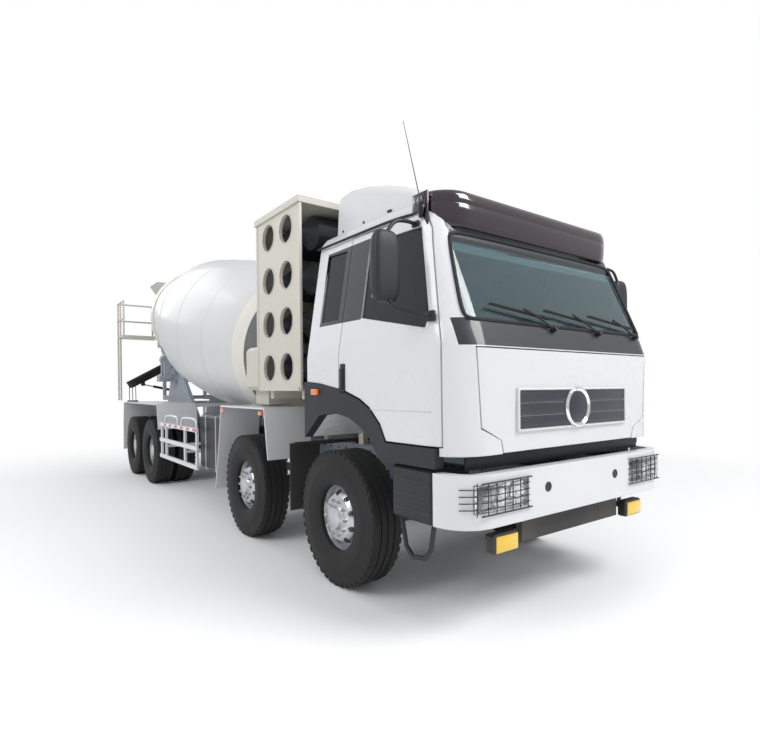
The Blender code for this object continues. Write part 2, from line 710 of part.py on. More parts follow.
def platform():
    parts = [block((-1.23, -0.50), (8.42, 9.04), (2.75, 2.79))]
    parts.append(block((-0.56, -0.46 - SEAT), (8.37, 8.43), (2.55, 2.76)))
    parts.append(block((-0.56, -0.50), (8.37, 8.50), (2.70, 2.76)))
    for station in (8.78, 9.032):
        parts.append(rod((-1.21, row_y(station), 1.42), (-1.21, row_y(station), 3.50), 0.018))
    for rung in range(5):
        height = 1.50 + 0.27 * rung
        parts.append(rod((-1.21, row_y(8.78), height), (-1.21, row_y(9.032), height), 0.013))
    parts.append(rod((-1.21, row_y(8.44), 2.78), (-1.21, row_y(8.44), 3.50), 0.018))
    parts.append(rod((-0.52, row_y(9.02), 2.78), (-0.52, row_y(9.02), 3.50), 0.018))
    for height in (3.14, 3.50):
        parts.append(rod((-1.21, row_y(8.43), height), (-1.21, row_y(9.04), height), 0.018))
        parts.append(rod((-1.22, row_y(9.025), height), (-0.51, row_y(9.025), height), 0.018))
    finished(fused(parts, "MANIFOLD"), "platform_ladder", "white_paint")


# ---------------------------------------------------------------- discharge chute


def chute_point(out, height, across=0.0):
    """A point at a distance out from the chute's post, on its parked side."""
    x, station = CHUTE_POST
    return (x - out, row_y(station) + across, height)


def discharge_chute():
    x, station = CHUTE_POST
    y = row_y(station)
    post_bottom = CHUTE_SEAT + SEAT
    post = [
        rod((x, y, post_bottom), (x, y, 2.16), 0.05, 12),
        block((-CHUTE_PIVOT[0] - 0.01, -0.03), (station - 0.05, station + 0.05), (2.08, 2.14)),
        block((-JACK_FOOT[0] - 0.02, -0.03), (station - 0.02, station + 0.02), (1.59, 1.65)),
    ]
    finished(fused(post), "chute_post", "frame_paint", (x, y, post_bottom))

    slope = math.atan2(-0.46, 0.86)
    run = Vector((-math.cos(slope), 0, math.sin(slope)))
    lift = Vector((math.sin(slope), 0, math.cos(slope)))
    start = Vector(chute_point(*CHUTE_PIVOT))
    rings = []
    for reach, half, deep in ((0.03, 0.20, 0.16), (0.98, 0.17, 0.14)):
        base = start + run * reach + lift * 0.03
        section = ((-half, deep), (-half * 0.7, 0.0), (half * 0.7, 0.0), (half, deep))
        wall = (
            (half - 0.012, deep), (half * 0.7 - 0.012, 0.012), (-half * 0.7 + 0.012, 0.012),
            (-half + 0.012, deep),
        )
        rings.append([base + Vector((0, across, 0)) + lift * up for across, up in section + wall])
    eye = Vector(chute_point(*JACK_EYE))
    trough = loft(rings)
    trough_parts = [trough]
    for across in (-0.085, 0.06):
        lug = [
            start + run * -0.03 + lift * -0.03, start + run * 0.10 + lift * -0.03,
            start + run * 0.10 + lift * 0.05, start + run * -0.03 + lift * 0.05,
        ]
        low, high = y + across, y + across + 0.025
        trough_parts.append(prism([(p.x, p.z) for p in lug], "Y", low, high))
    for across in (-0.055, 0.03):
        ear = [
            eye + Vector((-0.03, 0, -0.03)), eye + Vector((0.03, 0, -0.03)),
            eye + Vector((0.03, 0, 0.074)), eye + Vector((-0.03, 0, 0.042)),
        ]
        low, high = y + across, y + across + 0.025
        trough_parts.append(prism([(p.x, p.z) for p in ear], "Y", low, high))
    finished(fused(trough_parts), "chute", "dark_plastic", start)

    foot = Vector(chute_point(*JACK_FOOT))
    axis = (eye - foot).normalized()
    barrel = [
        rod(foot + axis * 0.04, foot + axis * 0.45, 0.028, 12),
        block(
            (foot.x - 0.06, foot.x + 0.005), (station - 0.045, station - 0.02 - SEAT),
            (foot.z - 0.02, foot.z + 0.02),
        ),
        block(
            (foot.x - 0.06, foot.x + 0.005), (station + 0.02 + SEAT, station + 0.045),
            (foot.z - 0.02, foot.z + 0.02),
        ),
    ]
    bore = rod(foot + axis * 0.065, foot + axis * 0.50, 0.0155, 12)
    body = cut(fused(barrel), [bore])
    finished(body, "jack_barrel", "black_metal", foot)
    rod_parts = [
        rod(foot + axis * 0.14, eye - axis * 0.01, 0.014, 12),
        rod(eye + Vector((0, -0.02, 0)), eye + Vector((0, 0.02, 0)), 0.022, 12),
    ]
    finished(fused(rod_parts), "jack_rod", "rim_silver", eye)


# ---------------------------------------------------------------- cab

CAB_SECTIONS = (  # height, half width, front station, front corner radius
    (CAB_BOTTOM, BODY_HALF, -1.46, 0.28),
    (1.89, BODY_HALF, -1.47, 0.28),
    (2.02, 1.215, -1.43, 0.27),
    (2.72, 1.105, -1.13, 0.15),
    (2.90, 1.075, -1.05, 0.13),
    (2.97, 1.02, -0.96, 0.12),
    (ROOF_TOP, 0.92, -0.82, 0.12),
)


def cab_ring(height, half, front, radius, rear):
    small = 0.04
    points = []
    for x, y in arc((half - small, rear - small), small, 90, 0, 1):
        points.append((x, y))
    for x, y in arc((half - radius, front + radius), radius, 0, -90, 5):
        points.append((x, y))
    points += [(-x, y) for x, y in reversed(points)]
    return [(x, row_y(y), height) for x, y in points]


def cab_loft(inset, bottom=CAB_BOTTOM, firewall=0.0):
    """The cab's outline moved inwards by an inset, from a bottom height to the roof."""
    rings = []
    for index, (height, half, front, radius) in enumerate(CAB_SECTIONS):
        low = index == 0
        roof = height > 2.95
        level = bottom if low else height - (inset if roof else 0.0)
        back = firewall if height < 2.0 else 0.0
        rings.append(
            cab_ring(level, half - inset, front + inset + back, max(radius - inset, 0.03), CAB_REAR - inset)
        )
    return loft(rings)


FENDER_EDGE = (  # station, height of the fender's upper edge, from the rear
    (0.45, 1.69), (0.19, 1.67), (-0.14, 1.62), (-0.42, 1.54), (-0.55, 1.475), (-0.68, 1.36), (-0.75, 1.24),
)
ARCH_EDGE = (  # station, height of the wheel opening, from the front
    (-0.68, 1.11), (-0.64, 1.16), (-0.55, 1.26), (-0.45, 1.33), (-0.28, 1.40), (-0.05, 1.43), (0.19, 1.40), (
        0.45, 1.20,
    ),
)


def door_outline(grow):
    """The door in side view, grown outwards by a gap."""
    lower = [(station, height + MOVING_GAP + 0.004 - grow) for station, height in FENDER_EDGE if station < DOOR_REAR]
    rear_low = (DOOR_REAR + grow, 1.628 + MOVING_GAP - grow)
    top = [
        (DOOR_REAR + grow, 2.86 + grow), (-1.01 - grow, 2.83 + grow), (-1.07 - grow, 2.72),
        (DOOR_FRONT - grow, 1.90), (DOOR_FRONT - grow, 1.252 - grow),
    ]
    return along([rear_low, *lower, *reversed(top)])


def window_outline(grow):
    """The door's pane in side view."""
    corners = (
        (-0.38 + grow, 2.17 - grow), (-1.16 - grow, 2.02 - grow), (-1.18 - grow, 2.10),
        (-1.00 - grow, 2.74 + grow), (-0.38 + grow, 2.76 + grow),
    )
    return along(corners)


def quarter_outline(grow):
    corners = (
        (0.26 + grow, 2.19 - grow), (-0.05 - grow, 2.19 - grow), (-0.05 - grow, 2.77 + grow),
        (0.26 + grow, 2.78 + grow),
    )
    return along(corners)


def windscreen_outline(grow):
    right = [(1.06 + grow, 2.07 - grow), (1.07 + grow, 2.12), (0.99 + grow, 2.66), (0.96 + grow, 2.70 + grow)]
    return right + [(-x, z) for x, z in reversed(right)]


def lid_outline(grow):
    right = [
        (0.80 + grow, CAB_BOTTOM + 0.006 - grow), (0.82 + grow, 1.28), (1.00 + grow, 1.37 - grow),
        (1.04 + grow, 1.88 + grow),
    ]
    return right + [(-x, z) for x, z in reversed(right)]


def cab():
    nose = (row_y(-1.70), row_y(-1.15))
    shell = cut(cab_loft(0.0), [cab_loft(CAB_WALL, CAB_FLOOR, 0.13)])
    cutters = [
        prism(windscreen_outline(0.0), "Y", *nose),
        block((-0.42, 0.42), (-1.22, 1.0), (1.0, 1.45)),
    ]
    lid_cut = prism(lid_outline(MOVING_GAP), "Y", row_y(-1.70), row_y(-1.20))
    cutters.append(cut(lid_cut, [cab_loft(CAB_WALL, 1.0)]))
    for side in (-1, 1):
        low, high = span(side, 0.90, 1.40)
        hole = prism(door_outline(MOVING_GAP), "X", low, high)
        cutters.append(cut(hole, [cab_loft(CAB_WALL + DOOR_SWEEP, 1.0)]))
        cutters.append(prism(quarter_outline(0.0), "X", low, high))
        low, high = span(side, FENDER_INNER, 1.40)
        edge = [(station, height + 0.004) for station, height in FENDER_EDGE]
        under = [(0.60, 1.69), *edge, (-1.285, 1.244), (-1.285, 1.0), (0.60, 1.0)]
        cutters.append(prism(along(under), "X", low, high))
        low, high = span(side, 0.60, 1.40)
        cutters.append(prism(along([*ARCH_EDGE, (0.60, 1.10), (0.60, 1.0), (-0.68, 1.0)]), "X", low, high))
    pivot = (0, row_y(CAB_PIVOT[0]), CAB_PIVOT[1])
    finished(cut(shell, cutters, "MANIFOLD"), "cab_shell", "white_paint", pivot)

    lid = cut(cab_loft(0.0), [cab_loft(0.04, 1.0)])
    lid = common(lid, [prism(lid_outline(0.0), "Y", row_y(-1.70), row_y(-1.15))])
    finished(lid, "front_lid", "white_paint", (0, row_y(LID_HINGE[0]), LID_HINGE[1]))

    pane = cut(cab_loft(0.016), [cab_loft(0.028, 1.0)])
    pane = common(pane, [prism(windscreen_outline(-SEAT), "Y", *nose)])
    finished(pane, "windscreen", "window_glass", pivot)

    for side, word in ((-1, "right"), (1, "left")):
        hinge = (side * DOOR_HINGE_HALF, row_y(DOOR_FRONT), 1.5)
        low, high = span(side, 0.90, 1.40)
        door = cut(cab_loft(0.0), [cab_loft(CAB_WALL, 1.0)])
        door = common(door, [prism(door_outline(0.0), "X", low, high)])
        door = cut(door, [prism(window_outline(0.0), "X", low, high)])
        finished(door, f"door_{word}", "white_paint", hinge)
        glass = cut(cab_loft(0.016), [cab_loft(0.028, 1.0)])
        glass = common(glass, [prism(window_outline(-SEAT), "X", low, high)])
        finished(glass, f"door_glass_{word}", "window_glass", hinge)
        glass = cut(cab_loft(0.016), [cab_loft(0.028, 1.0)])
        glass = common(glass, [prism(quarter_outline(-SEAT), "X", low, high)])
        finished(glass, f"quarter_glass_{word}", "window_glass", pivot)
        low, high = span(side, FENDER_INNER + SEAT, FENDER_OUTER)
        outline = along([*FENDER_EDGE, (-1.275, 1.24), (-1.275, 1.11), *ARCH_EDGE])
        finished(prism(outline, "X", low, high), f"cab_fender_{word}", "dark_plastic", pivot)
        finished(mirror(side), f"mirror_{word}", "dark_plastic", hinge)


def mirror(side):
    body = [
        (side * 1.36, row_y(-0.95)), (side * 1.55, row_y(-1.07)), (side * 1.52, row_y(-1.16)),
        (side * 1.36, row_y(-1.12)),
    ]
    parts = [prism(body, "Z", 2.18, 2.66)]
    parts.append(bent_tube([(side * 1.108, row_y(-0.95), 2.765), (side * 1.40, row_y(-1.04), 2.74), (side * 1.43, row_y(-1.06), 2.62)], 0.016))
    parts.append(bent_tube([(side * 1.207, row_y(-1.22), 2.09), (side * 1.38, row_y(-1.14), 2.08), (side * 1.43, row_y(-1.06), 2.24)], 0.016))
    return fused(parts)


def sun_visor():
    rings = []
    for height, front, flat in ((2.78, -1.17, 0.76), (2.99, -1.13, 0.78)):  # flat is half the straight front
        right = [
            (1.08, row_y(-0.90)), (1.08, row_y(-1.06)), (flat + 0.20, row_y(front + 0.02)),
            (flat, row_y(front)),
        ]
        ring = right + [(-x, y) for x, y in reversed(right)]
        rings.append([(x, y, height) for x, y in ring])
    visor = cut(loft(rings), [cab_loft(-0.003, 1.5)])
    finished(visor, "sun_visor", "visor_gloss", (0, row_y(CAB_PIVOT[0]), CAB_PIVOT[1]))


def roof_fairing():
    rings = []
    table = (  # station, top height, half width at the top
        (-0.79, 3.03, 0.84), (-0.60, 3.18, 0.86), (-0.20, 3.34, 0.86), (0.30, 3.45, 0.86), (0.44, 3.45, 0.86),
    )
    base = ROOF_TOP + SEAT
    for station, top, half in table:
        side = [
            (0.90, base), (0.895, base + (top - base) * 0.5), (half, top - (top - base) * 0.12),
            (half - 0.06, top),
        ]
        ring = side + [(-x, z) for x, z in reversed(side)]
        rings.append([(x, row_y(station), z) for x, z in ring])
    finished(loft(rings), "roof_fairing", "white_paint", (0, row_y(CAB_PIVOT[0]), CAB_PIVOT[1]))


def cab_interior():
    pivot = (0, row_y(CAB_PIVOT[0]), CAB_PIVOT[1])
    floor = CAB_FLOOR + SEAT
    parts = [block((-0.95, 0.95), (-0.30, 0.30), (floor, 1.62))]
    for x in (-0.60, 0.60):
        parts.append(block((x - 0.27, x + 0.27), (-0.45, 0.10), (1.60, 1.88), 0.04))
        parts.append(block((x - 0.25, x + 0.25), (0.08, 0.24), (1.75, 2.45), 0.05))
    finished(fused(parts), "seats", "seat_fabric", pivot)
    dash = [block((-1.10, 1.10), (-1.24, -0.98), (1.72, 2.02), 0.03)]
    dash.append(block((-0.90, 0.90), (-1.27, -1.10), (floor, 1.80)))
    dash.append(rod((0.60, row_y(-1.05), 1.85), (0.60, row_y(-0.80), 2.02), 0.03))
    tilt = Vector((0, 0.25, 0.17)).normalized()
    wheel = [(-0.015, 0.20), (0.015, 0.20), (0.015, 0.23), (-0.015, 0.23)]
    centre = Vector((0.60, row_y(-0.79), 2.027))
    dash.append(turned(wheel, centre, tilt, 16))
    dash.append(block((0.38, 0.82), (-0.805, -0.775), (2.01, 2.045)))
    finished(fused(dash), "dashboard", "dark_plastic", pivot)


def main():
    for thing in list(bpy.data.objects):
        bpy.data.objects.remove(thing)
    chassis_frame()
    front_bumper()
    fog_lamps()
    engine()
    steps()
    front_flaps()
    steer_axle(1, AXLE_STATIONS[0])
    steer_axle(2, AXLE_STATIONS[1])
    drive_axle(3, AXLE_STATIONS[2])
    drive_axle(4, AXLE_STATIONS[3])
    bogie_springs()
    side_boxes()
    second_mudguards()
    rear_mudguards()
    side_guards()
    gas_rack()
    gas_bottles()
    drum()
    front_pedestal()
    water_tank()
    rear_pedestal()
    feed_hopper()
    discharge_collector()
    platform()
    discharge_chute()
    cab()
    sun_visor()
    roof_fairing()
    cab_interior()


main()
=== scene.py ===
"""Looks of a four-axle concrete mixer truck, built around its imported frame.

Metres, +Z up. The truck faces -Y and its left side is +X. Every piece keeps its object at the
origin, with its place in its mesh, and rides on the body that carries it.
"""

import json
import logging
import math
from dataclasses import dataclass, field
from enum import Enum
from typing import Iterable, Sequence

import bmesh
import bpy
from mathutils import Matrix, Vector


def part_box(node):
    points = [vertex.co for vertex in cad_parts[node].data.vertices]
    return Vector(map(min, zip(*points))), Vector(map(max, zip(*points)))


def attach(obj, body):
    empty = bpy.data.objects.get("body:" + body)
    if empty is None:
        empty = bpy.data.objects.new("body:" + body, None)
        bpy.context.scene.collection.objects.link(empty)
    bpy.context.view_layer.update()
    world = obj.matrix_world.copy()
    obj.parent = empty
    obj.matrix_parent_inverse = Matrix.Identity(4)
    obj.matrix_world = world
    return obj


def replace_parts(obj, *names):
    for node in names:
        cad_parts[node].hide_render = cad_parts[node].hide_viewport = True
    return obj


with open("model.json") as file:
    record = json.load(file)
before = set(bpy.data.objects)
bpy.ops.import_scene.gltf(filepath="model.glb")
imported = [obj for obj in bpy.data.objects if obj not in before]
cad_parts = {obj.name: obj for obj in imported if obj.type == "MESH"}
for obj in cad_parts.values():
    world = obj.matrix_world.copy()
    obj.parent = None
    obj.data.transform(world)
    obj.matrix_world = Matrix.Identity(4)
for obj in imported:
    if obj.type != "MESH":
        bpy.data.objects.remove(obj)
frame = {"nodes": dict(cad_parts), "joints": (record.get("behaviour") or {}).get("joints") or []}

LOG = logging.getLogger("mixer")
SIDES = ((-1, "right"), (1, "left"))
SKIN = 0.0015  # how far an applied trim stands off the panel it lies on
MERGE = 2e-5  # distance under which two vertices are one
RELIEF_DEPTH = 0.002  # height of the grain under a bump of 1
DUST = (0.30, 0.27, 0.23)
Colour = tuple[float, float, float]
Point = Sequence[float]
Tree = bpy.types.NodeTree
Socket = bpy.types.NodeSocket


# ---------------------------------------------------------------- finishes


@dataclass(frozen=True)
class Zone:
    """A stretch of a panel, between pairs of X, Y and Z, that has its own colour.

    The X pair is a distance from the centre line, so both sides of the truck match.
    """

    colour: Colour
    x: tuple[float, float] = (-0.1, 9.0)
    y: tuple[float, float] = (-9.0, 9.0)
    z: tuple[float, float] = (-9.0, 9.0)
    roughness: float = 0.4


@dataclass(frozen=True)
class Finish:
    """A painted, moulded, cast or rubber surface with grain, road dust and rounded edges."""

    name: str
    colour: Colour
    roughness: float
    metallic: float = 0.0
    grain: float = 60.0
    bump: float = 0.06
    mottle: float = 0.05
    dust: float = 0.0
    coat: float = 0.0
    rounding: float = 0.004
    see_through: float = 0.0
    zones: tuple[Zone, ...] = ()

    def material(self) -> bpy.types.Material:
        """Makes the finish's material, once for each name.

        Returns:
            The material.
        """
        found = bpy.data.materials.get(self.name)
        if found:
            return found
        made = bpy.data.materials.new(self.name)
        made.use_nodes = True
        made.diffuse_color = (*self.colour, 1.0)
        tree = made.node_tree
        shader = tree.nodes["Principled BSDF"]
        shader.inputs["Metallic"].default_value = self.metallic
        shader.inputs["Coat Weight"].default_value = self.coat
        shader.inputs["Coat Roughness"].default_value = 0.08
        shader.inputs["Transmission Weight"].default_value = self.see_through
        place = tree.nodes.new("ShaderNodeTexCoord").outputs["Object"]
        fine = self._noise(tree, place, self.grain, 4.0)
        broad = self._noise(tree, place, 1.7, 5.0)
        dark = tuple(channel * 0.72 for channel in self.colour)
        shade = self._mix(tree, self._range(tree, fine, 0.35, 0.75, 0.0, self.mottle * 4), self.colour, dark)
        rough = self._range(tree, broad, 0.3, 0.7, self.roughness * 0.88, min(self.roughness * 1.18, 1.0))
        parts = tree.nodes.new("ShaderNodeSeparateXYZ")
        tree.links.new(place, parts.inputs[0])
        for zone in self.zones:
            mask = self._zone_mask(tree, parts, zone)
            shade = self._mix(tree, mask, shade, zone.colour)
            rough = self._blend_value(tree, mask, rough, zone.roughness)
        if self.dust:
            low = self._range(tree, parts.outputs["Z"], 0.1, 1.5, self.dust, 0.0)
            amount = self._math(tree, "MULTIPLY", low, self._range(tree, broad, 0.35, 0.65, 0.3, 1.0))
            shade = self._mix(tree, amount, shade, DUST)
            rough = self._blend_value(tree, amount, rough, 0.85)
        tree.links.new(shade, shader.inputs["Base Color"])
        tree.links.new(rough, shader.inputs["Roughness"])
        edge = tree.nodes.new("ShaderNodeBevel")
        edge.samples = 4
        edge.inputs["Radius"].default_value = self.rounding
        relief = tree.nodes.new("ShaderNodeBump")
        relief.inputs["Strength"].default_value = self.bump
        relief.inputs["Distance"].default_value = RELIEF_DEPTH
        tree.links.new(fine, relief.inputs["Height"])
        tree.links.new(edge.outputs[0], relief.inputs["Normal"])
        tree.links.new(relief.outputs[0], shader.inputs["Normal"])
        return made

    @staticmethod
    def _noise(tree: Tree, place: Socket, scale: float, detail: float) -> Socket:
        """Adds noise over a place.

        Args:
            tree: The material's node tree.
            place: The coordinates that the noise follows.
            scale: How fine it is.
            detail: How many finer layers it has.

        Returns:
            A socket of values from 0 to 1.
        """
        noise = tree.nodes.new("ShaderNodeTexNoise")
        noise.inputs["Scale"].default_value = scale
        noise.inputs["Detail"].default_value = detail
        tree.links.new(place, noise.inputs["Vector"])
        return noise.outputs[0]

    @staticmethod
    def _range(tree: Tree, value: Socket, low: float, high: float, to_low: float, to_high: float) -> Socket:
        """Maps a value from one range to another and holds it inside that.

        Args:
            tree: The material's node tree.
            value: The value.
            low: Start of its range.
            high: End of its range.
            to_low: What the start becomes.
            to_high: What the end becomes.

        Returns:
            The mapped value's socket.
        """
        node = tree.nodes.new("ShaderNodeMapRange")
        tree.links.new(value, node.inputs[0])
        for index, number in enumerate((low, high, to_low, to_high), start=1):
            node.inputs[index].default_value = number
        return node.outputs[0]

    @staticmethod
    def _math(tree: Tree, operation: str, first: Socket | float, second: Socket | float) -> Socket:
        """Puts two values through one sum.

        Args:
            tree: The material's node tree.
            operation: The sum's name.
            first: A socket or a number.
            second: A socket or a number.

        Returns:
            The result's socket.
        """
        node = tree.nodes.new("ShaderNodeMath")
        node.operation = operation
        for socket, value in zip(node.inputs, (first, second)):
            if isinstance(value, bpy.types.NodeSocket):
                tree.links.new(value, socket)
            else:
                socket.default_value = value
        return node.outputs[0]

    @staticmethod
    def _mix(tree: Tree, amount: Socket, first: Socket | Colour, second: Socket | Colour) -> Socket:
        """Mixes two colours.

        Args:
            tree: The material's node tree.
            amount: How much of the second colour shows.
            first: A socket or a colour.
            second: A socket or a colour.

        Returns:
            The mixed colour's socket.
        """
        node = tree.nodes.new("ShaderNodeMix")
        node.data_type = "RGBA"
        tree.links.new(amount, node.inputs[0])
        for socket, value in zip((node.inputs[6], node.inputs[7]), (first, second)):
            if isinstance(value, bpy.types.NodeSocket):
                tree.links.new(value, socket)
            else:
                socket.default_value = (*value, 1.0)
        return node.outputs[2]

    def _blend_value(self, tree: Tree, amount: Socket, first: Socket, second: float) -> Socket:
        """Turns a value into a number by an amount.

        Args:
            tree: The material's node tree.
            amount: How much of the number shows.
            first: The value.
            second: The number.

        Returns:
            The blended value's socket.
        """
        kept = self._math(tree, "MULTIPLY", first, self._math(tree, "SUBTRACT", 1.0, amount))
        return self._math(tree, "ADD", kept, self._math(tree, "MULTIPLY", amount, second))

    def _zone_mask(self, tree: Tree, parts: bpy.types.Node, zone: Zone) -> Socket:
        """Marks a zone.

        Args:
            tree: The material's node tree.
            parts: The node that gives a place's X, Y and Z.
            zone: The zone.

        Returns:
            A socket that is 1 inside the zone and 0 outside it.
        """
        across = self._math(tree, "ABSOLUTE", parts.outputs["X"], 0.0)
        values = (across, parts.outputs["Y"], parts.outputs["Z"])
        mask = None
        for value, (low, high) in zip(values, (zone.x, zone.y, zone.z)):
            above = self._math(tree, "GREATER_THAN", value, low)
            inside = self._math(tree, "MULTIPLY", above, self._math(tree, "LESS_THAN", value, high))
            mask = inside if mask is None else self._math(tree, "MULTIPLY", mask, inside)
        return mask


BLACK = (0.006, 0.006, 0.007)
NAVY = (0.010, 0.012, 0.018)
SIDE_BAND = Zone(NAVY, x=(0.95, 1.3), y=(-4.13, -3.49), z=(2.16, 2.80), roughness=0.25)
COWL_BAND = Zone(NAVY, x=(-0.1, 1.14), y=(-5.4, -4.98), z=(1.896, 2.075), roughness=0.5)
BROW_BAND = Zone(NAVY, x=(-0.1, 0.985), y=(-5.2, -4.70), z=(2.62, 2.80), roughness=0.3)
ENAMEL = (0.66, 0.665, 0.68)


class Paint(Enum):
    """Every finish that the truck wears."""

    WHITE = Finish("white_enamel", ENAMEL, 0.30, grain=90, bump=0.012, mottle=0.008, dust=0.10, coat=0.5)
    CAB = Finish(
        "cab_enamel", ENAMEL, 0.28, grain=90, bump=0.010, mottle=0.006, dust=0.06, coat=0.6,
        rounding=0.009, zones=(SIDE_BAND, COWL_BAND, BROW_BAND),
    )
    BUMPER = Finish(
        "bumper_enamel", ENAMEL, 0.34, grain=90, bump=0.015, mottle=0.008, dust=0.10, coat=0.3,
        rounding=0.008, zones=(Zone(BLACK, y=(-5.5, -5.2815)),),
    )
    DRUM = Finish(
        "drum_enamel", (0.60, 0.605, 0.60), 0.38, grain=30, bump=0.05, mottle=0.02, dust=0.10, coat=0.2,
    )
    # Painted highlight: a lighter, warmer tone of the drum's paint for the lit face of its front cone; the
    # roller ring and mouth lip wear it too.
    DRUM_HIGHLIGHT = Finish("drum_cream_painted_highlight", (0.68, 0.66, 0.60), 0.40, grain=30, bump=0.05, mottle=0.02)
    # Painted shade: the drum's front head and the blades inside the drum are painted a shadowed grey.
    DRUM_SHADE = Finish("drum_head_painted_shade", (0.30, 0.31, 0.33), 0.50, grain=25, bump=0.12, mottle=0.05)
    FRAME = Finish(
        "frame_slate", (0.17, 0.20, 0.24), 0.48, grain=45, bump=0.10, mottle=0.06, dust=0.35,
        zones=(Zone(BLACK, y=(-5.5, -5.13), roughness=0.6),),
    )
    CARRIER = Finish("carrier_slate", (0.33, 0.37, 0.41), 0.45, grain=45, bump=0.08, mottle=0.05, dust=0.15)
    CREAM = Finish("rack_cream", (0.55, 0.53, 0.46), 0.45, grain=55, bump=0.05, mottle=0.03, dust=0.06)
    PLASTIC = Finish("moulded_navy", NAVY, 0.50, grain=420, bump=0.30, mottle=0.05, dust=0.04)
    VISOR = Finish("smoked_maroon", (0.016, 0.005, 0.009), 0.12, grain=20, bump=0.0, mottle=0.02, coat=1.0)
    GRILLE = Finish("grille_navy", (0.010, 0.013, 0.025), 0.30, grain=200, bump=0.04, mottle=0.04, coat=0.5)
    BLACK = Finish("black_enamel", BLACK, 0.42, grain=80, bump=0.10, mottle=0.08, dust=0.20)
    RUBBER = Finish("flap_rubber", (0.018, 0.018, 0.019), 0.80, grain=160, bump=0.35, mottle=0.10, dust=0.22)
    TYRE = Finish("tyre_rubber", (0.006, 0.006, 0.007), 0.72, grain=210, bump=0.30, mottle=0.10, dust=0.04)
    RIM = Finish(
        "rim_silver", (0.60, 0.61, 0.63), 0.30, metallic=0.85, grain=70, bump=0.06, mottle=0.06, dust=0.10,
    )
    STEEL = Finish("bare_steel", (0.56, 0.57, 0.58), 0.28, metallic=1.0, grain=120, bump=0.08, mottle=0.05)
    CHROME = Finish("bright_chrome", (0.82, 0.83, 0.84), 0.07, metallic=1.0, grain=60, bump=0.0, mottle=0.01)
    CAST = Finish(
        "cast_iron", (0.060, 0.062, 0.066), 0.62, metallic=0.4, grain=130, bump=0.40, mottle=0.12, dust=0.4,
    )
    # Painted shade: the gas bottles are painted near black for the shade inside the rack's round holes.
    BOTTLE_SHADE = Finish("bottle_painted_shade", (0.030, 0.034, 0.038), 0.45, grain=70, bump=0.05, mottle=0.05)
    SCREEN = Finish("screen_teal", (0.30, 0.46, 0.49), 0.03, grain=5, bump=0.0, mottle=0.0, see_through=0.92)
    PANE = Finish("side_pane", (0.012, 0.017, 0.021), 0.03, grain=5, bump=0.0, mottle=0.0, see_through=0.35)
    LENS = Finish("clear_lens", (0.93, 0.94, 0.95), 0.04, grain=300, bump=0.12, mottle=0.0, see_through=0.95)
    YELLOW = Finish("fog_yellow", (0.78, 0.50, 0.02), 0.16, grain=300, bump=0.45, mottle=0.10, coat=0.8)
    AMBER = Finish("marker_amber", (0.85, 0.20, 0.02), 0.18, grain=320, bump=0.40, mottle=0.06, coat=0.8)
    RED = Finish("marker_red", (0.52, 0.02, 0.02), 0.18, grain=320, bump=0.40, mottle=0.06, coat=0.8)
    STRIPE_WHITE = Finish("stripe_white", (0.82, 0.82, 0.82), 0.35, grain=500, bump=0.20, mottle=0.03)
    CLOTH = Finish(
        "seat_cloth", (0.075, 0.080, 0.095), 0.90, grain=700, bump=0.55, mottle=0.12, rounding=0.002,
    )

    def material(self) -> bpy.types.Material:
        """Makes the finish's material.

        Returns:
            The material.
        """
        return self.value.material()


# ---------------------------------------------------------------- making pieces


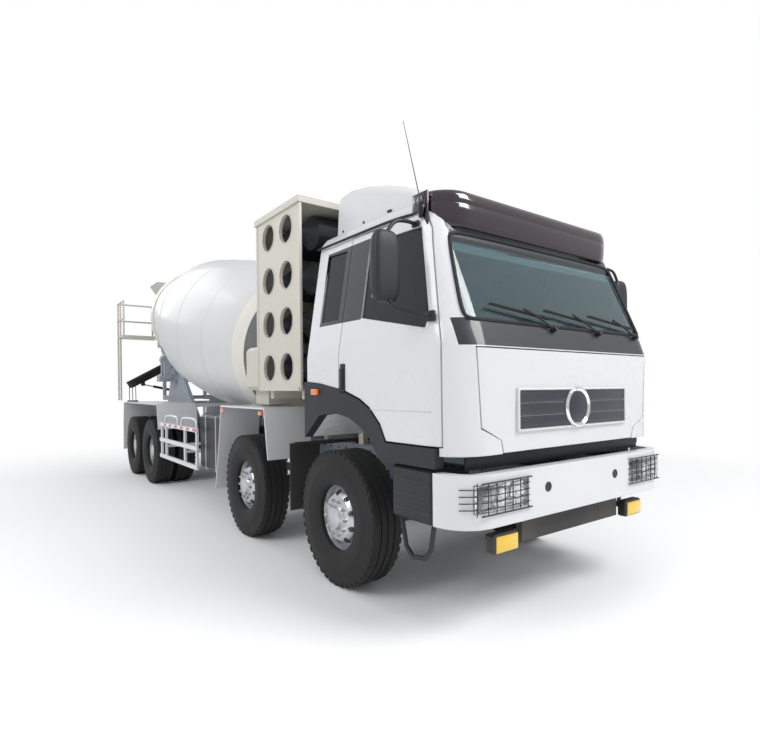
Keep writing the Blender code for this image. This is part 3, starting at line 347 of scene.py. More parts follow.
class Shape:
    """A mesh under construction, with its place in its vertices."""

    def __init__(self) -> None:
        """Starts an empty mesh."""
        self.mesh = bmesh.new()

    def block(self, low: Point, high: Point, bevel: float = 0.0, segments: int = 2) -> "Shape":
        """Adds a box between two corners.

        Args:
            low: One corner.
            high: The corner across from it.
            bevel: Width of the rounding along its edges.
            segments: Steps in that rounding.

        Returns:
            The shape itself.
        """
        first, second = Vector(map(min, low, high)), Vector(map(max, low, high))
        verts = bmesh.ops.create_cube(self.mesh, size=1.0)["verts"]
        bmesh.ops.scale(self.mesh, vec=second - first, verts=verts)
        bmesh.ops.translate(self.mesh, vec=(first + second) / 2, verts=verts)
        if bevel:
            edges = list({edge for vert in verts for edge in vert.link_edges})
            bmesh.ops.bevel(
                self.mesh, geom=edges, offset=bevel, segments=segments, affect="EDGES", profile=0.5,
                material=-1
            )
        return self

    def rod(
        self, start: Point, end: Point, radius: float, sides: int = 16, tip: float | None = None,
    ) -> "Shape":
        """Adds a round bar, or a cone where its tip has another radius.

        Args:
            start: Centre of the first end.
            end: Centre of the other end.
            radius: Radius at the start.
            sides: Faces around it.
            tip: Radius at the end, if it differs.

        Returns:
            The shape itself.
        """
        start, end = Vector(start), Vector(end)
        turn = (end - start).to_track_quat("Z", "Y").to_matrix().to_4x4()
        bmesh.ops.create_cone(
            self.mesh, cap_ends=True, segments=sides, radius1=radius, radius2=radius if tip is None else tip,
            depth=(end - start).length, matrix=Matrix.Translation((start + end) / 2) @ turn,
        )
        return self

    def turned(
        self, profile: Sequence[tuple[float, float]], centre: Point, axis: Point, steps: int,
        ring: bool = False
    ) -> "Shape":
        """Adds a profile of (distance along the axis, radius) turned about an axis.

        Args:
            profile: The profile's points in order.
            centre: Where distance 0 lies on the axis.
            axis: The axis's direction.
            steps: Steps in the full turn.
            ring: Whether the last point joins the first.

        Returns:
            The shape itself.
        """
        axis, centre = Vector(axis).normalized(), Vector(centre)
        spoke = axis.orthogonal().normalized()
        verts = [self.mesh.verts.new(centre + axis * along + spoke * radius) for along, radius in profile]
        pairs = list(zip(verts, verts[1:] + verts[:1] if ring else verts[1:]))
        edges = [self.mesh.edges.new(pair) for pair in pairs]
        bmesh.ops.spin(
            self.mesh, geom=[*verts, *edges], cent=centre, axis=axis, angle=math.tau, steps=steps,
            use_merge=True, use_duplicate=False,
        )
        bmesh.ops.remove_doubles(self.mesh, verts=self.mesh.verts, dist=MERGE)
        return self

    def loft(self, rings: Sequence[Sequence[Point]]) -> "Shape":
        """Adds a closed body that runs through rings of as many points each.

        Args:
            rings: The rings in order.

        Returns:
            The shape itself.
        """
        rows = []
        for points in rings:
            ring = [self.mesh.verts.new(point) for point in points]
            rows.append([self.mesh.edges.new(pair) for pair in zip(ring, ring[1:] + ring[:1])])
        for first, second in zip(rows, rows[1:]):
            bmesh.ops.bridge_loops(self.mesh, edges=[*first, *second])
        bmesh.ops.holes_fill(self.mesh, edges=[*rows[0], *rows[-1]], sides=0)
        return self

    def tube(
        self, points: Sequence[Point], radius: float, smooth: bool = True, closed: bool = False,
    ) -> "Shape":
        """Adds a round tube along points.

        Args:
            points: The points that the tube runs through.
            radius: The tube's radius.
            smooth: Whether its corners are eased into curves.
            closed: Whether it joins its own start.

        Returns:
            The shape itself.
        """
        curve = bpy.data.curves.new("guide", "CURVE")
        curve.dimensions = "3D"
        curve.bevel_depth = radius
        curve.bevel_resolution = 3
        curve.use_fill_caps = not closed
        spline = curve.splines.new("NURBS" if smooth else "POLY")
        spline.points.add(len(points) - 1)
        for knot, point in zip(spline.points, points):
            knot.co = (*point, 1.0)
        spline.use_endpoint_u = not closed
        spline.use_cyclic_u = closed
        spline.order_u = 3
        spline.resolution_u = 5
        guide = bpy.data.objects.new("guide", curve)
        bpy.context.scene.collection.objects.link(guide)
        made = bpy.data.meshes.new_from_object(guide.evaluated_get(bpy.context.evaluated_depsgraph_get()))
        self.mesh.from_mesh(made)
        bpy.data.objects.remove(guide)
        bpy.data.meshes.remove(made)
        bmesh.ops.remove_doubles(self.mesh, verts=self.mesh.verts, dist=1e-5)
        return self

    def piece(self, name: str, paint: Paint, body: str, slot: str, angle: float = 32.0) -> bpy.types.Object:
        """Turns the shape into a finished piece that rides on a body.

        Args:
            name: The piece's name.
            paint: Its finish.
            body: The body that carries it.
            slot: The record's material slot; not used.
            angle: Degrees over which an edge stays sharp.

        Returns:
            The piece.
        """
        bmesh.ops.recalc_face_normals(self.mesh, faces=self.mesh.faces)
        data = bpy.data.meshes.new(name)
        self.mesh.to_mesh(data)
        self.mesh.free()
        thing = bpy.data.objects.new(name, data)
        bpy.context.scene.collection.objects.link(thing)
        data.materials.append(paint.material())
        data.shade_smooth()
        data.set_sharp_from_angle(angle=math.radians(angle))
        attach(thing, body)
        LOG.info("%s on %s, %d faces", name, body, len(data.polygons))
        return thing


def carved(thing: bpy.types.Object, cutter: Shape) -> bpy.types.Object:
    """Cuts a shape out of a piece.

    Args:
        thing: The piece.
        cutter: What is taken away, which is used up.

    Returns:
        The piece.
    """
    data = bpy.data.meshes.new("cutter")
    bmesh.ops.recalc_face_normals(cutter.mesh, faces=cutter.mesh.faces)
    cutter.mesh.to_mesh(data)
    cutter.mesh.free()
    tool = bpy.data.objects.new("cutter", data)
    bpy.context.scene.collection.objects.link(tool)
    step = thing.modifiers.new("carve", "BOOLEAN")
    step.operation = "DIFFERENCE"
    step.object = tool
    graph = bpy.context.evaluated_depsgraph_get()
    thing.data = bpy.data.meshes.new_from_object(thing.evaluated_get(graph))
    thing.modifiers.clear()
    bpy.data.objects.remove(tool)
    thing.data.shade_smooth()
    thing.data.set_sharp_from_angle(angle=math.radians(32))
    return thing


# ---------------------------------------------------------------- dressing what the frame has


@dataclass
class Bodywork:
    """The frame's own nodes: which finish each wears, and which stay flat-shaded."""

    white: tuple[str, ...] = ("mudguards_2", "rear_mudguards", "side_guards")
    cream: tuple[str, ...] = ("gas_rack", "water_tank", "feed_hopper", "platform_ladder")
    cast: tuple[str, ...] = ("engine", "steer_axle_1", "steer_axle_2", "drive_axle_3", "drive_axle_4")
    carrier: tuple[str, ...] = ("front_pedestal", "rear_pedestal", "discharge_collector", "chute_post")
    black: tuple[str, ...] = ("fog_lamps", "battery_box", "bogie_springs", "jack_barrel", "chute")
    flat: tuple[str, ...] = ("chassis_frame", "engine", "steer_axle_1", "steer_axle_2", "dashboard")
    crease: float = 34.0

    def finishes(self) -> dict[str, Paint]:
        """Pairs every shown node with its finish.

        Returns:
            The finish of each node by the node's name.
        """
        worn = {
            "chassis_frame": Paint.FRAME, "front_bumper": Paint.BUMPER, "fuel_tank": Paint.STEEL,
            "front_flaps": Paint.RUBBER, "gas_bottles": Paint.BOTTLE_SHADE, "cab_shell": Paint.CAB,
            "front_lid": Paint.CAB, "windscreen": Paint.SCREEN, "dashboard": Paint.PLASTIC,
            "jack_rod": Paint.STEEL,
        }
        groups = (
            (self.white, Paint.WHITE), (self.cream, Paint.CREAM), (self.cast, Paint.CAST),
            (self.carrier, Paint.CARRIER), (self.black, Paint.BLACK),
        )
        for names, paint in groups:
            worn.update({name: paint for name in names})
        for _, side in SIDES:
            worn[f"door_{side}"] = Paint.CAB
            worn[f"door_glass_{side}"] = Paint.PANE
            worn[f"quarter_glass_{side}"] = Paint.PANE
            for name in ("step", "cab_fender"):
                worn[f"{name}_{side}"] = Paint.PLASTIC
            for axle in (1, 2):
                worn[f"knuckle_{axle}_{side}"] = Paint.CAST
        return worn

    def build(self) -> None:
        """Gives each node its finish, and eases the shading over its shallow edges."""
        easing = self.easing()
        for name, paint in self.finishes().items():
            node = frame["nodes"][name]
            node.data.materials.clear()
            node.data.materials.append(paint.material())
            merge = node.modifiers.new("merge", "WELD")
            merge.merge_threshold = MERGE
            if name in self.flat:
                continue
            node.modifiers.new("easing", "NODES").node_group = easing
            even = node.modifiers.new("even", "WEIGHTED_NORMAL")
            even.keep_sharp = True
            LOG.info("%s dressed", name)

    def easing(self) -> bpy.types.NodeTree:
        """Makes a node group that shades smoothly over edges shallower than the crease angle.

        Returns:
            The node group.
        """
        group = bpy.data.node_groups.new("shade_by_angle", "GeometryNodeTree")
        group.interface.new_socket("Geometry", in_out="INPUT", socket_type="NodeSocketGeometry")
        group.interface.new_socket("Geometry", in_out="OUTPUT", socket_type="NodeSocketGeometry")
        nodes, links = group.nodes, group.links
        start, end = nodes.new("NodeGroupInput"), nodes.new("NodeGroupOutput")
        faces, edges = nodes.new("GeometryNodeSetShadeSmooth"), nodes.new("GeometryNodeSetShadeSmooth")
        faces.domain, edges.domain = "FACE", "EDGE"
        angle, shallow = nodes.new("GeometryNodeInputMeshEdgeAngle"), nodes.new("FunctionNodeCompare")
        shallow.data_type, shallow.operation = "FLOAT", "LESS_THAN"
        shallow.inputs[1].default_value = math.radians(self.crease)
        links.new(angle.outputs[0], shallow.inputs[0])
        links.new(start.outputs[0], faces.inputs["Geometry"])
        links.new(faces.outputs[0], edges.inputs["Geometry"])
        links.new(shallow.outputs[0], edges.inputs["Shade Smooth"])
        links.new(edges.outputs[0], end.inputs[0])
        return group


# ---------------------------------------------------------------- wheels


@dataclass
class Wheel:
    """A tyre, its rim and its nuts on one hub."""

    axle: int
    side: int
    word: str
    radius: float = 0.56
    half_width: float = 0.155
    twin_pitch: float = 0.35
    lugs: int = 44
    studs: int = 10
    steps: int = 72
    hand_hole: float = 0.024
    nut: tuple[float, float] = (0.0165, 0.022)  # radius and height
    stud: tuple[float, float] = (0.009, 0.034)  # radius and height over the disc
    body: str = field(init=False)
    node: str = field(init=False)
    hub: Vector = field(init=False)

    def __post_init__(self) -> None:
        """Finds the hub from the frame."""
        self.node = f"wheel_{self.axle}_{self.word}"
        self.body = f"{self.node}_body"
        low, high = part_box(self.node)
        outer = max(abs(low.x), abs(high.x)) - self.half_width
        self.hub = Vector((self.side * outer, (low.y + high.y) / 2, self.radius))

    @property
    def twin(self) -> bool:
        """Tells whether the hub carries two tyres.

        Returns:
            Whether it does.
        """
        return self.axle > 2

    def tyre_profile(self, centre: float) -> list[tuple[float, float]]:
        """The tyre's outline from bead to bead, with three grooves around the tread.

        Args:
            centre: The tyre's middle along the hub's axis.

        Returns:
            Pairs of distance along the axis and radius.
        """
        half, crown, groove, deep = self.half_width, self.radius, 0.008, 0.013
        wall = [
            (-0.74, 0.270), (-0.86, 0.288), (-0.93, 0.310), (-0.96, 0.345), (-1.0, 0.400), (-0.99, 0.440),
            (-0.97, 0.444), (-0.96, 0.480), (-0.90, 0.520), (-0.86, 0.540), (-0.82, crown - 0.006),
            (-0.78, crown),
        ]
        tread = []
        for middle in (-0.062, 0.0, 0.062):
            tread += [
                (middle - groove, crown), (middle - groove * 0.6, crown - deep),
                (middle + groove * 0.6, crown - deep), (middle + groove, crown),
            ]
        left = [(share * half, height) for share, height in wall]
        right = [(-along, height) for along, height in reversed(left)]
        return [(centre + along, height) for along, height in left + tread + right]

    def steer_rim(self) -> list[tuple[float, float]]:
        """Outlines a rim whose disc stands out to the hub's nose.

        Returns:
            Pairs of distance along the axis and radius.
        """
        face = [
            (0.112, 0.300), (0.120, 0.296), (0.118, 0.286), (0.096, 0.276), (0.060, 0.262), (0.030, 0.254),
            (0.040, 0.242), (0.078, 0.222), (0.108, 0.192), (0.116, 0.178), (0.116, 0.108), (0.126, 0.096),
            (0.148, 0.088), (0.153, 0.078), (0.153, 0.0),
        ]
        back = [
            (0.060, 0.0), (0.060, 0.105), (0.100, 0.180), (0.070, 0.212), (0.028, 0.236), (-0.110, 0.262),
            (-0.118, 0.296),
        ]
        return face + back

    def drive_rim(self) -> list[tuple[float, float]]:
        """Outlines a dished rim around a long hub.

        Returns:
            Pairs of distance along the axis and radius.
        """
        face = [
            (0.112, 0.300), (0.120, 0.296), (0.118, 0.286), (0.096, 0.276), (0.040, 0.262), (-0.110, 0.252),
            (-0.140, 0.236), (-0.150, 0.205), (-0.150, 0.135), (-0.130, 0.128), (0.020, 0.120),
            (0.040, 0.108),
            (0.080, 0.102), (0.098, 0.088), (0.098, 0.0),
        ]
        back = [(-0.165, 0.0), (-0.165, 0.235), (-0.130, 0.262), (-0.120, 0.296)]
        return face + back

    def inner_rim(self) -> list[tuple[float, float]]:
        """Outlines the plain rim of the inner tyre.

        Returns:
            Pairs of distance along the axis and radius.
        """
        outline = [
            (-0.12, 0.296), (-0.10, 0.255), (0.10, 0.255), (0.12, 0.296), (0.10, 0.300), (-0.10, 0.300),
        ]
        return [(-self.twin_pitch + along, radius) for along, radius in outline]

    def build(self) -> None:
        """Builds the wheel's pieces."""
        axis = Vector((self.side, 0, 0))
        tyre = Shape()
        centres = (0.0, -self.twin_pitch) if self.twin else (0.0,)
        for centre in centres:
            tyre.turned(self.tyre_profile(centre), self.hub, axis, self.steps, ring=True)
        for centre in centres:
            self.add_lugs(tyre, centre)
        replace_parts(tyre.piece(f"{self.node}_tyre", Paint.TYRE, self.body, "tyre", 40), self.node)
        rim = Shape().turned(self.drive_rim() if self.twin else self.steer_rim(), self.hub, axis, self.steps)
        rim = rim.piece(f"{self.node}_rim", Paint.RIM, self.body, "steel")
        holes = Shape()
        reach, ring = (-0.20, 0.192) if self.twin else (0.02, 0.206)
        for spoke in self.spokes(self.studs, 0.5):
            start = self.hub + axis * reach + spoke * ring
            holes.rod(start, start + axis * 0.14, self.hand_hole, 14)
        carved(rim, holes)
        nuts = Shape()
        seat, circle = (-0.150, 0.160) if self.twin else (0.116, 0.140)
        for spoke in self.spokes(self.studs):
            start = self.hub + axis * seat + spoke * circle
            nuts.rod(start, start + axis * self.nut[1], self.nut[0], 6)
            nuts.rod(start + axis * self.nut[1], start + axis * self.stud[1], self.stud[0], 10)
        nose = 0.098 if self.twin else 0.1535
        for spoke in self.spokes(8, 0.25):
            start = self.hub + axis * (nose - 0.004) + spoke * 0.062
            nuts.rod(start, start + axis * (0.006 if self.twin else 0.0015), 0.007, 6)
        nuts.piece(f"{self.node}_nuts", Paint.STEEL, self.body, "steel")
        if self.twin:
            inner = Shape().turned(self.inner_rim(), self.hub, axis, 48, ring=True)
            inner.piece(f"{self.node}_inner_rim", Paint.RIM, self.body, "steel")

    def spokes(self, count: int, offset: float = 0.0) -> Iterable[Vector]:
        """Unit vectors around the hub.

        Args:
            count: How many.
            offset: A turn, as a share of the gap between two.

        Yields:
            Each vector.
        """
        for index in range(count):
            turn = math.tau * (index + offset) / count
            yield Vector((0, math.cos(turn), math.sin(turn)))

    def add_lugs(self, tyre: Shape, centre: float) -> None:
        """Adds the shoulder lugs of one tyre.

        Args:
            tyre: The shape they join.
            centre: The tyre's middle along the hub's axis.
        """
        for edge in (-1, 1):
            for index in range(self.lugs):
                turn = math.tau * (index + (0.5 if edge > 0 else 0.0)) / self.lugs
                verts = bmesh.ops.create_cube(tyre.mesh, size=1.0)["verts"]
                bmesh.ops.scale(tyre.mesh, vec=(0.020, 0.046, 0.026), verts=verts)
                place = Matrix.Translation((self.side * centre + edge * 0.1285, 0, self.radius - 0.0185))
                spin = Matrix.Translation(self.hub) @ Matrix.Rotation(turn, 4, "X")
                bmesh.ops.transform(tyre.mesh, matrix=spin @ place, verts=verts)


# ---------------------------------------------------------------- drum


@dataclass
class Drum:
    """The turned drum: shell, front head, roller ring, mouth lip and inner blades."""

    wall: float = 0.02
    steps: int = 112
    shell: tuple[tuple[float, float], ...] = (
        (0.0, 0.965), (0.25, 1.02), (0.70, 1.075), (1.20, 1.12), (1.70, 1.165), (2.15, 1.19), (2.70, 1.195),
        (3.20, 1.185), (4.70, 0.925), (6.05, 0.60),
    )
    ring_place: float = 4.75
    ring_radius: float = 0.95

    def __post_init__(self) -> None:
        """Finds the drum's axis from its joint."""
        joint = next(row for row in frame["joints"] if row["name"] == "drum_spin")
        self.centre = Vector(joint["pos_m"])
        self.axis = Vector(joint["axis"]).normalized()

    def build(self) -> None:
        """Builds the drum's pieces."""
        inner = [
            (along + (self.wall if not index else 0.0), radius - self.wall) for index,
            (along, radius) in enumerate(self.shell)
        ]
        shell = Shape().turned([*self.shell, *reversed(inner)], self.centre, self.axis, self.steps, ring=True)
        shell = shell.piece("drum_shell", Paint.DRUM, "drum_body", "drum_paint", 25)
        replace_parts(shell, "drum")
        # A thin skin over the front cone that only carries the painted highlight of its lit face.
        band = [
            (-0.004, 0.962), (-0.004, 0.970), (0.25, 1.0245), (0.262, 1.0245), (0.262, 1.018), (0.01, 0.963),
        ]
        Shape().turned(band, self.centre, self.axis, self.steps, ring=True).piece(
            "drum_front_highlight_band", Paint.DRUM_HIGHLIGHT, "drum_body", "drum_paint"
        )
        # The front head is painted grey for the shade that falls on it.
        head = [
            (-0.12, 0.0), (-0.12, 0.30), (-0.105, 0.34), (-0.06, 0.62), (-0.004, 0.93), (0.0, 0.963),
            (0.019, 0.963), (0.0, 0.30), (0.0, 0.0),
        ]
        Shape().turned(head, self.centre, self.axis, self.steps).piece(
            "drum_head", Paint.DRUM_SHADE, "drum_body", "frame_paint", 20
        )
        self.build_rings()
        self.build_blades()

    def radius_at(self, along: float) -> float:
        """Finds the shell's outer radius.

        Args:
            along: The place along the axis.

        Returns:
            The radius there.
        """
        for (low, first), (high, second) in zip(self.shell, self.shell[1:]):
            if along <= high:
                return first + (second - first) * (along - low) / (high - low)
        return self.shell[-1][1]

    def build_rings(self) -> None:
        """Builds the roller ring, the mouth's lip and the weld beads between the plates."""
        ring = Shape()
        inside = 0.885
        low, high = self.ring_place - 0.078, self.ring_place + 0.078
        ring.turned(
            [(low, inside), (low, self.ring_radius - 0.006), (low + 0.006, self.ring_radius),
             (high - 0.006, self.ring_radius), (high, self.ring_radius - 0.006), (high, inside)],
            self.centre, self.axis, self.steps, ring=True,
        )
        ring.piece("drum_roller_ring", Paint.DRUM_HIGHLIGHT, "drum_body", "drum_paint")
        mouth, radius = self.shell[-1]
        lip = [
            (mouth - 0.045, radius + 0.006), (mouth - 0.045, radius + 0.022),
            (mouth - 0.002, radius + 0.020), (mouth - 0.002, radius - 0.018), (mouth - 0.02, radius - 0.018),
        ]
        Shape().turned(lip, self.centre, self.axis, 80, ring=True).piece(
            "drum_mouth_lip", Paint.DRUM_HIGHLIGHT, "drum_body", "drum_paint",
        )
        beads = Shape()
        for along in (1.20, 2.15, 3.20, 3.95):
            radius = self.radius_at(along)
            bead = [
                (along - 0.009, radius - 0.002), (along - 0.004, radius + 0.0035),
                (along + 0.004, radius + 0.0035), (along + 0.009, radius - 0.002),
            ]
            beads.turned(bead, self.centre, self.axis, 96, ring=True)
        beads.piece("drum_weld_beads", Paint.DRUM, "drum_body", "drum_paint")

    def build_blades(self) -> None:
        """Builds the two spiral blades that show through the mouth."""
        blades = Shape()
        spoke = self.axis.orthogonal().normalized()
        for start in (0.0, math.pi):
            turn = Matrix.Rotation(start, 3, self.axis)
            out = turn @ spoke
            base = self.centre + self.axis * 4.75
            ends = [blades.mesh.verts.new(base + out * radius) for radius in (0.34, 0.56)]
            edge = blades.mesh.edges.new(ends)
            bmesh.ops.spin(
                blades.mesh, geom=[*ends, edge], cent=self.centre, axis=self.axis,
                dvec=self.axis * (1.2 / 60),
                angle=math.tau * 1.2, steps=60, use_merge=False, use_duplicate=False,
            )
        bmesh.ops.solidify(blades.mesh, geom=blades.mesh.faces[:], thickness=0.008)
        blades.piece("drum_blades", Paint.DRUM_SHADE, "drum_body", "frame_paint")


# ---------------------------------------------------------------- cab front


@dataclass
class CabFront:
    """Grille, badge disc, wipers, screen seal, antenna and a dark panel that paints the shade in the gap
    under the cab.
    """

    grille: tuple[float, float, float] = (0.68, 1.325, 1.625)  # half width, low and high edge
    ribs: int = 27

    def screen(self, x: float, height: float, proud: float = 0.0) -> Vector:
        """A point on the windscreen.

        Args:
            x: Distance left of the centre line.
            height: Height above the ground.
            proud: Distance out of the glass.

        Returns:
            The point.
        """
        share = (height - 2.02) / 0.70
        half, radius = 1.215 - 0.110 * share, 0.27 - 0.12 * share
        over = max(abs(x) - (half - radius), 0.0)
        back = radius - math.sqrt(max(radius * radius - over * over, 0.0))
        return Vector((x, -5.18 + 0.30 * share + back - 0.92 * proud, height + 0.39 * proud))

    def build(self) -> None:
        """Builds the pieces of the cab's front."""
        self.build_grille()
        self.build_wipers()
        corners = [(1.06, 2.07), (1.07, 2.14), (1.04, 2.36), (1.0, 2.62), (0.97, 2.695)]
        right = [self.screen(x, z, 0.002) for x, z in corners]
        top = [self.screen(x, 2.705, 0.002) for x in (0.6, 0.0, -0.6)]
        left = [self.screen(-x, z, 0.002) for x, z in reversed(corners)]
        bottom = [self.screen(x, 2.065, 0.002) for x in (-0.98, -0.6, 0.0, 0.6, 0.98)]
        Shape().tube(
            [*right, *top, *left, *bottom], 0.013, closed=True,
        ).piece("screen_seal", Paint.RUBBER, "cab", "dark_plastic")
        # Painted shade: a dark panel stands in the gap between the cab's foot and the bumper, where there is
        # only shade.
        gap = Shape().block((-1.06, -5.118, 1.090), (1.06, -5.100, 1.178), 0.004)
        gap.piece("front_gap_shade_panel", Paint.PLASTIC, "chassis", "dark_plastic")
        Shape().rod((-1.10, -4.74, 2.80), (-1.115, -4.76, 2.90), 0.014, 12).rod(
            (-1.115, -4.76, 2.90), (-1.15, -4.62, 3.50), 0.004, 8, 0.002
        ).piece("antenna", Paint.BLACK, "cab", "black_metal")

    def build_grille(self) -> None:
        """Builds the grille's frame, dark bands and round badge disc on the lid."""
        half, low, high = self.grille
        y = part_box("front_lid")[0].y - SKIN
        frame_ring = Shape().block((-half, y - 0.014, low), (half, y + 0.02, high), 0.013, 4)
        frame_ring = frame_ring.piece("grille_frame", Paint.CAB, "lid", "white_paint")
        rim = 0.018
        opening = Shape().block(
            (-half + rim, y - 0.05, low + rim), (half - rim, y - 0.002, high - rim), 0.010, 3,
        )
        carved(frame_ring, opening)
        bands = Shape()
        pitch = (high - low - 2 * rim) / 3
        for index in range(3):
            foot = low + rim + pitch * index
            bands.block(
                (-half + rim, y - 0.009, foot + 0.003), (half - rim, y - 0.001, foot + pitch - 0.003), 0.0035,
            )
        for index in range(self.ribs):
            height = low + rim + 0.008 + (high - low - 2 * rim - 0.016) * index / (self.ribs - 1)
            bands.block(
                (-half + rim + 0.01, y - 0.0105, height - 0.0016),
                (half - rim - 0.01, y - 0.004, height + 0.0016),
            )
        bands.piece("grille_bands", Paint.GRILLE, "lid", "black_metal")
        middle = (0, y - 0.006, 1.478)
        Shape().turned(
            [
                (0.0, 0.150), (0.008, 0.152), (0.020, 0.146), (0.025, 0.136), (0.018, 0.126), (0.012, 0.118),
                (0.0, 0.118),
            ],
            middle, (0, -1, 0), 56, ring=True,
        ).piece("badge_ring", Paint.CHROME, "lid", "steel")
        Shape().turned(
            [(0.0, 0.0), (0.0, 0.122), (0.012, 0.119), (0.015, 0.10), (0.017, 0.0)], middle, (0, -1, 0), 56,
        ).piece(
            "badge_disc", Paint.GRILLE, "lid", "dark_plastic"
        )

    def build_wipers(self) -> None:
        """Builds three parked wipers."""
        for index, start in enumerate((-0.22, 0.36, 0.92)):
            pivot = self.screen(start, 2.035, 0.018)
            knee = self.screen(start - 0.30, 2.155, 0.040)
            low, high = self.screen(start - 0.62, 2.175, 0.016), self.screen(start - 0.02, 2.110, 0.016)
            wiper = Shape().tube([pivot, (pivot + knee) / 2 + Vector((0, -0.01, 0.01)), knee], 0.008)
            wiper.rod(pivot + Vector((0, 0.02, -0.01)), pivot + Vector((0, -0.02, 0.008)), 0.018, 14)
            wiper.tube([low, (low + high) / 2, high], 0.0075)
            wiper.tube(
                [low + Vector((0, -0.014, 0.006)), high + Vector((0, -0.014, 0.006))], 0.004, smooth=False,
            )
            wiper.piece(f"wiper_{index + 1}", Paint.BLACK, "cab", "black_metal")


@dataclass
class RoofTrim:
    """The smoked visor over the screen, its end caps and the wind fairing behind it."""

    half: float = 1.075
    corner: float = 0.26
    bend: float = -4.66  # Y at which the visor's corners begin
    corner_steps: int = 14
    straight_steps: int = 22
    visor_section: tuple[tuple[float, float], ...] = (
        (-0.060, 2.990), (-0.030, 2.996), (-0.012, 2.986), (0.0, 2.955), (0.004, 2.905), (0.002, 2.900),
        (0.004, 2.895), (0.002, 2.840), (-0.004, 2.770), (-0.014, 2.742), (-0.030, 2.738),
        (-0.034, 2.80), (-0.050, 2.95),
    )  # distance out of the path, and height
    fairing_foot: float = 3.001
    fairing_corner: float = 0.13
    fairing_lean: float = 0.045  # how far the sides lean in over each metre of height
    fairing: tuple[tuple[float, float, float], ...] = (
        (-4.54, 3.03, 0.86), (-4.50, 3.06, 0.875), (-4.35, 3.18, 0.885), (-4.15, 3.27, 0.89),
        (-3.95, 3.34, 0.895),
        (-3.65, 3.42, 0.90), (-3.45, 3.45, 0.90), (-3.325, 3.44, 0.90),
    )  # Y, height of the top and half width

    def build(self) -> None:
        """Builds the roof's pieces."""
        self.build_visor()
        self.build_fairing()

    def visor_path(self) -> list[tuple[float, float, float, float]]:
        """Points along the visor with the direction out of it, from the right end to the left one.

        Returns:
            X, Y and the outward X and Y at each point.
        """
        path = []
        inner = self.half - self.corner
        for index in range(self.corner_steps + 1):
            turn = math.pi / 2 * index / self.corner_steps
            out_x, out_y = -math.cos(turn), -math.sin(turn)
            x = -self.half + self.corner + self.corner * out_x
            path.append((x, self.bend + self.corner * out_y, out_x, out_y))
        for index in range(1, self.straight_steps):
            share = index / self.straight_steps
            path.append(((2 * share - 1) * inner, self.bend - self.corner, 0.0, -1.0))
        mirrored = [(-x, y, -out_x, out_y) for x, y, out_x, out_y in reversed(path[:self.corner_steps + 1])]
        return path + mirrored

    def build_visor(self) -> None:
        """Builds the visor as one band swept around the roof's front, with its end caps and lamps."""
        shape = Shape().loft([
            [(x + out_x * out, y + out_y * out, height) for out, height in self.visor_section]
            for x, y, out_x, out_y in self.visor_path()
        ])
        visor = shape.piece("visor_band", Paint.VISOR, "cab", "visor_gloss", 40)
        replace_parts(visor, "sun_visor")
        for side, word in SIDES:
            x = side * (self.half + 0.0045)
            cap = Shape()
            cap.block((x - side * 0.010, -4.795, 2.745), (x + side * 0.003, -4.625, 2.985), 0.004)
            cap.piece(f"visor_cap_{word}", Paint.VISOR, "cab", "visor_gloss")
            studs = Shape()
            for y, z in ((-4.66, 2.93), (-4.66, 2.83), (-4.76, 2.88)):
                studs.rod((x, y, z), (x + side * 0.008, y, z), 0.010, 12)
            studs.piece(f"visor_studs_{word}", Paint.STEEL, "cab", "steel")
            lamp = Shape().turned(
                [(0.0, 0.036), (0.010, 0.033), (0.016, 0.022), (0.018, 0.0)], (x, -4.72, 2.93), (side, 0, 0),
                28
            )
            lamp.turned([(0.0, 0.0), (0.0, 0.036)], (x, -4.72, 2.93), (side, 0, 0), 28)
            lamp.piece(f"visor_lamp_{word}", Paint.LENS, "cab", "glass")

    def arch(self, y: float, top: float, half: float) -> list[tuple[float, float, float]]:
        """Outlines the fairing at one place along the truck.

        Args:
            y: The place.
            top: Height of its top there.
            half: Half its width at its foot.

        Returns:
            The outline's points, from the left foot over the top to the right one.
        """
        reach = top - self.fairing_foot
        radius = min(self.fairing_corner, reach * 0.48)
        points = [(half, self.fairing_foot)]
        for index in range(7):
            turn = math.pi / 2 * index / 6
            x = half - self.fairing_lean * reach - radius + radius * math.cos(turn)
            points.append((x, top - radius + radius * math.sin(turn)))
        points.append((half * 0.5, top + 0.004))
        return [(x, y, z) for x, z in points + [(-x, z) for x, z in reversed(points)]]

    def build_fairing(self) -> None:
        """Builds the fairing as a skin of rounded arches that grow towards the rear."""
        shape = Shape().loft([self.arch(*row) for row in self.fairing])
        fairing = shape.piece("fairing_shell", Paint.WHITE, "cab", "fairing_paint", 50)
        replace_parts(fairing, "roof_fairing")
        screws = Shape()
        for side, _ in SIDES:
            for y in (-3.42, -3.75, -4.10, -4.13):
                screws.rod((side * 0.892, y, 3.055), (side * 0.9015, y, 3.055), 0.011, 12)
        screws.piece("fairing_screws", Paint.BLACK, "cab", "black_metal")


# ---------------------------------------------------------------- cab sides


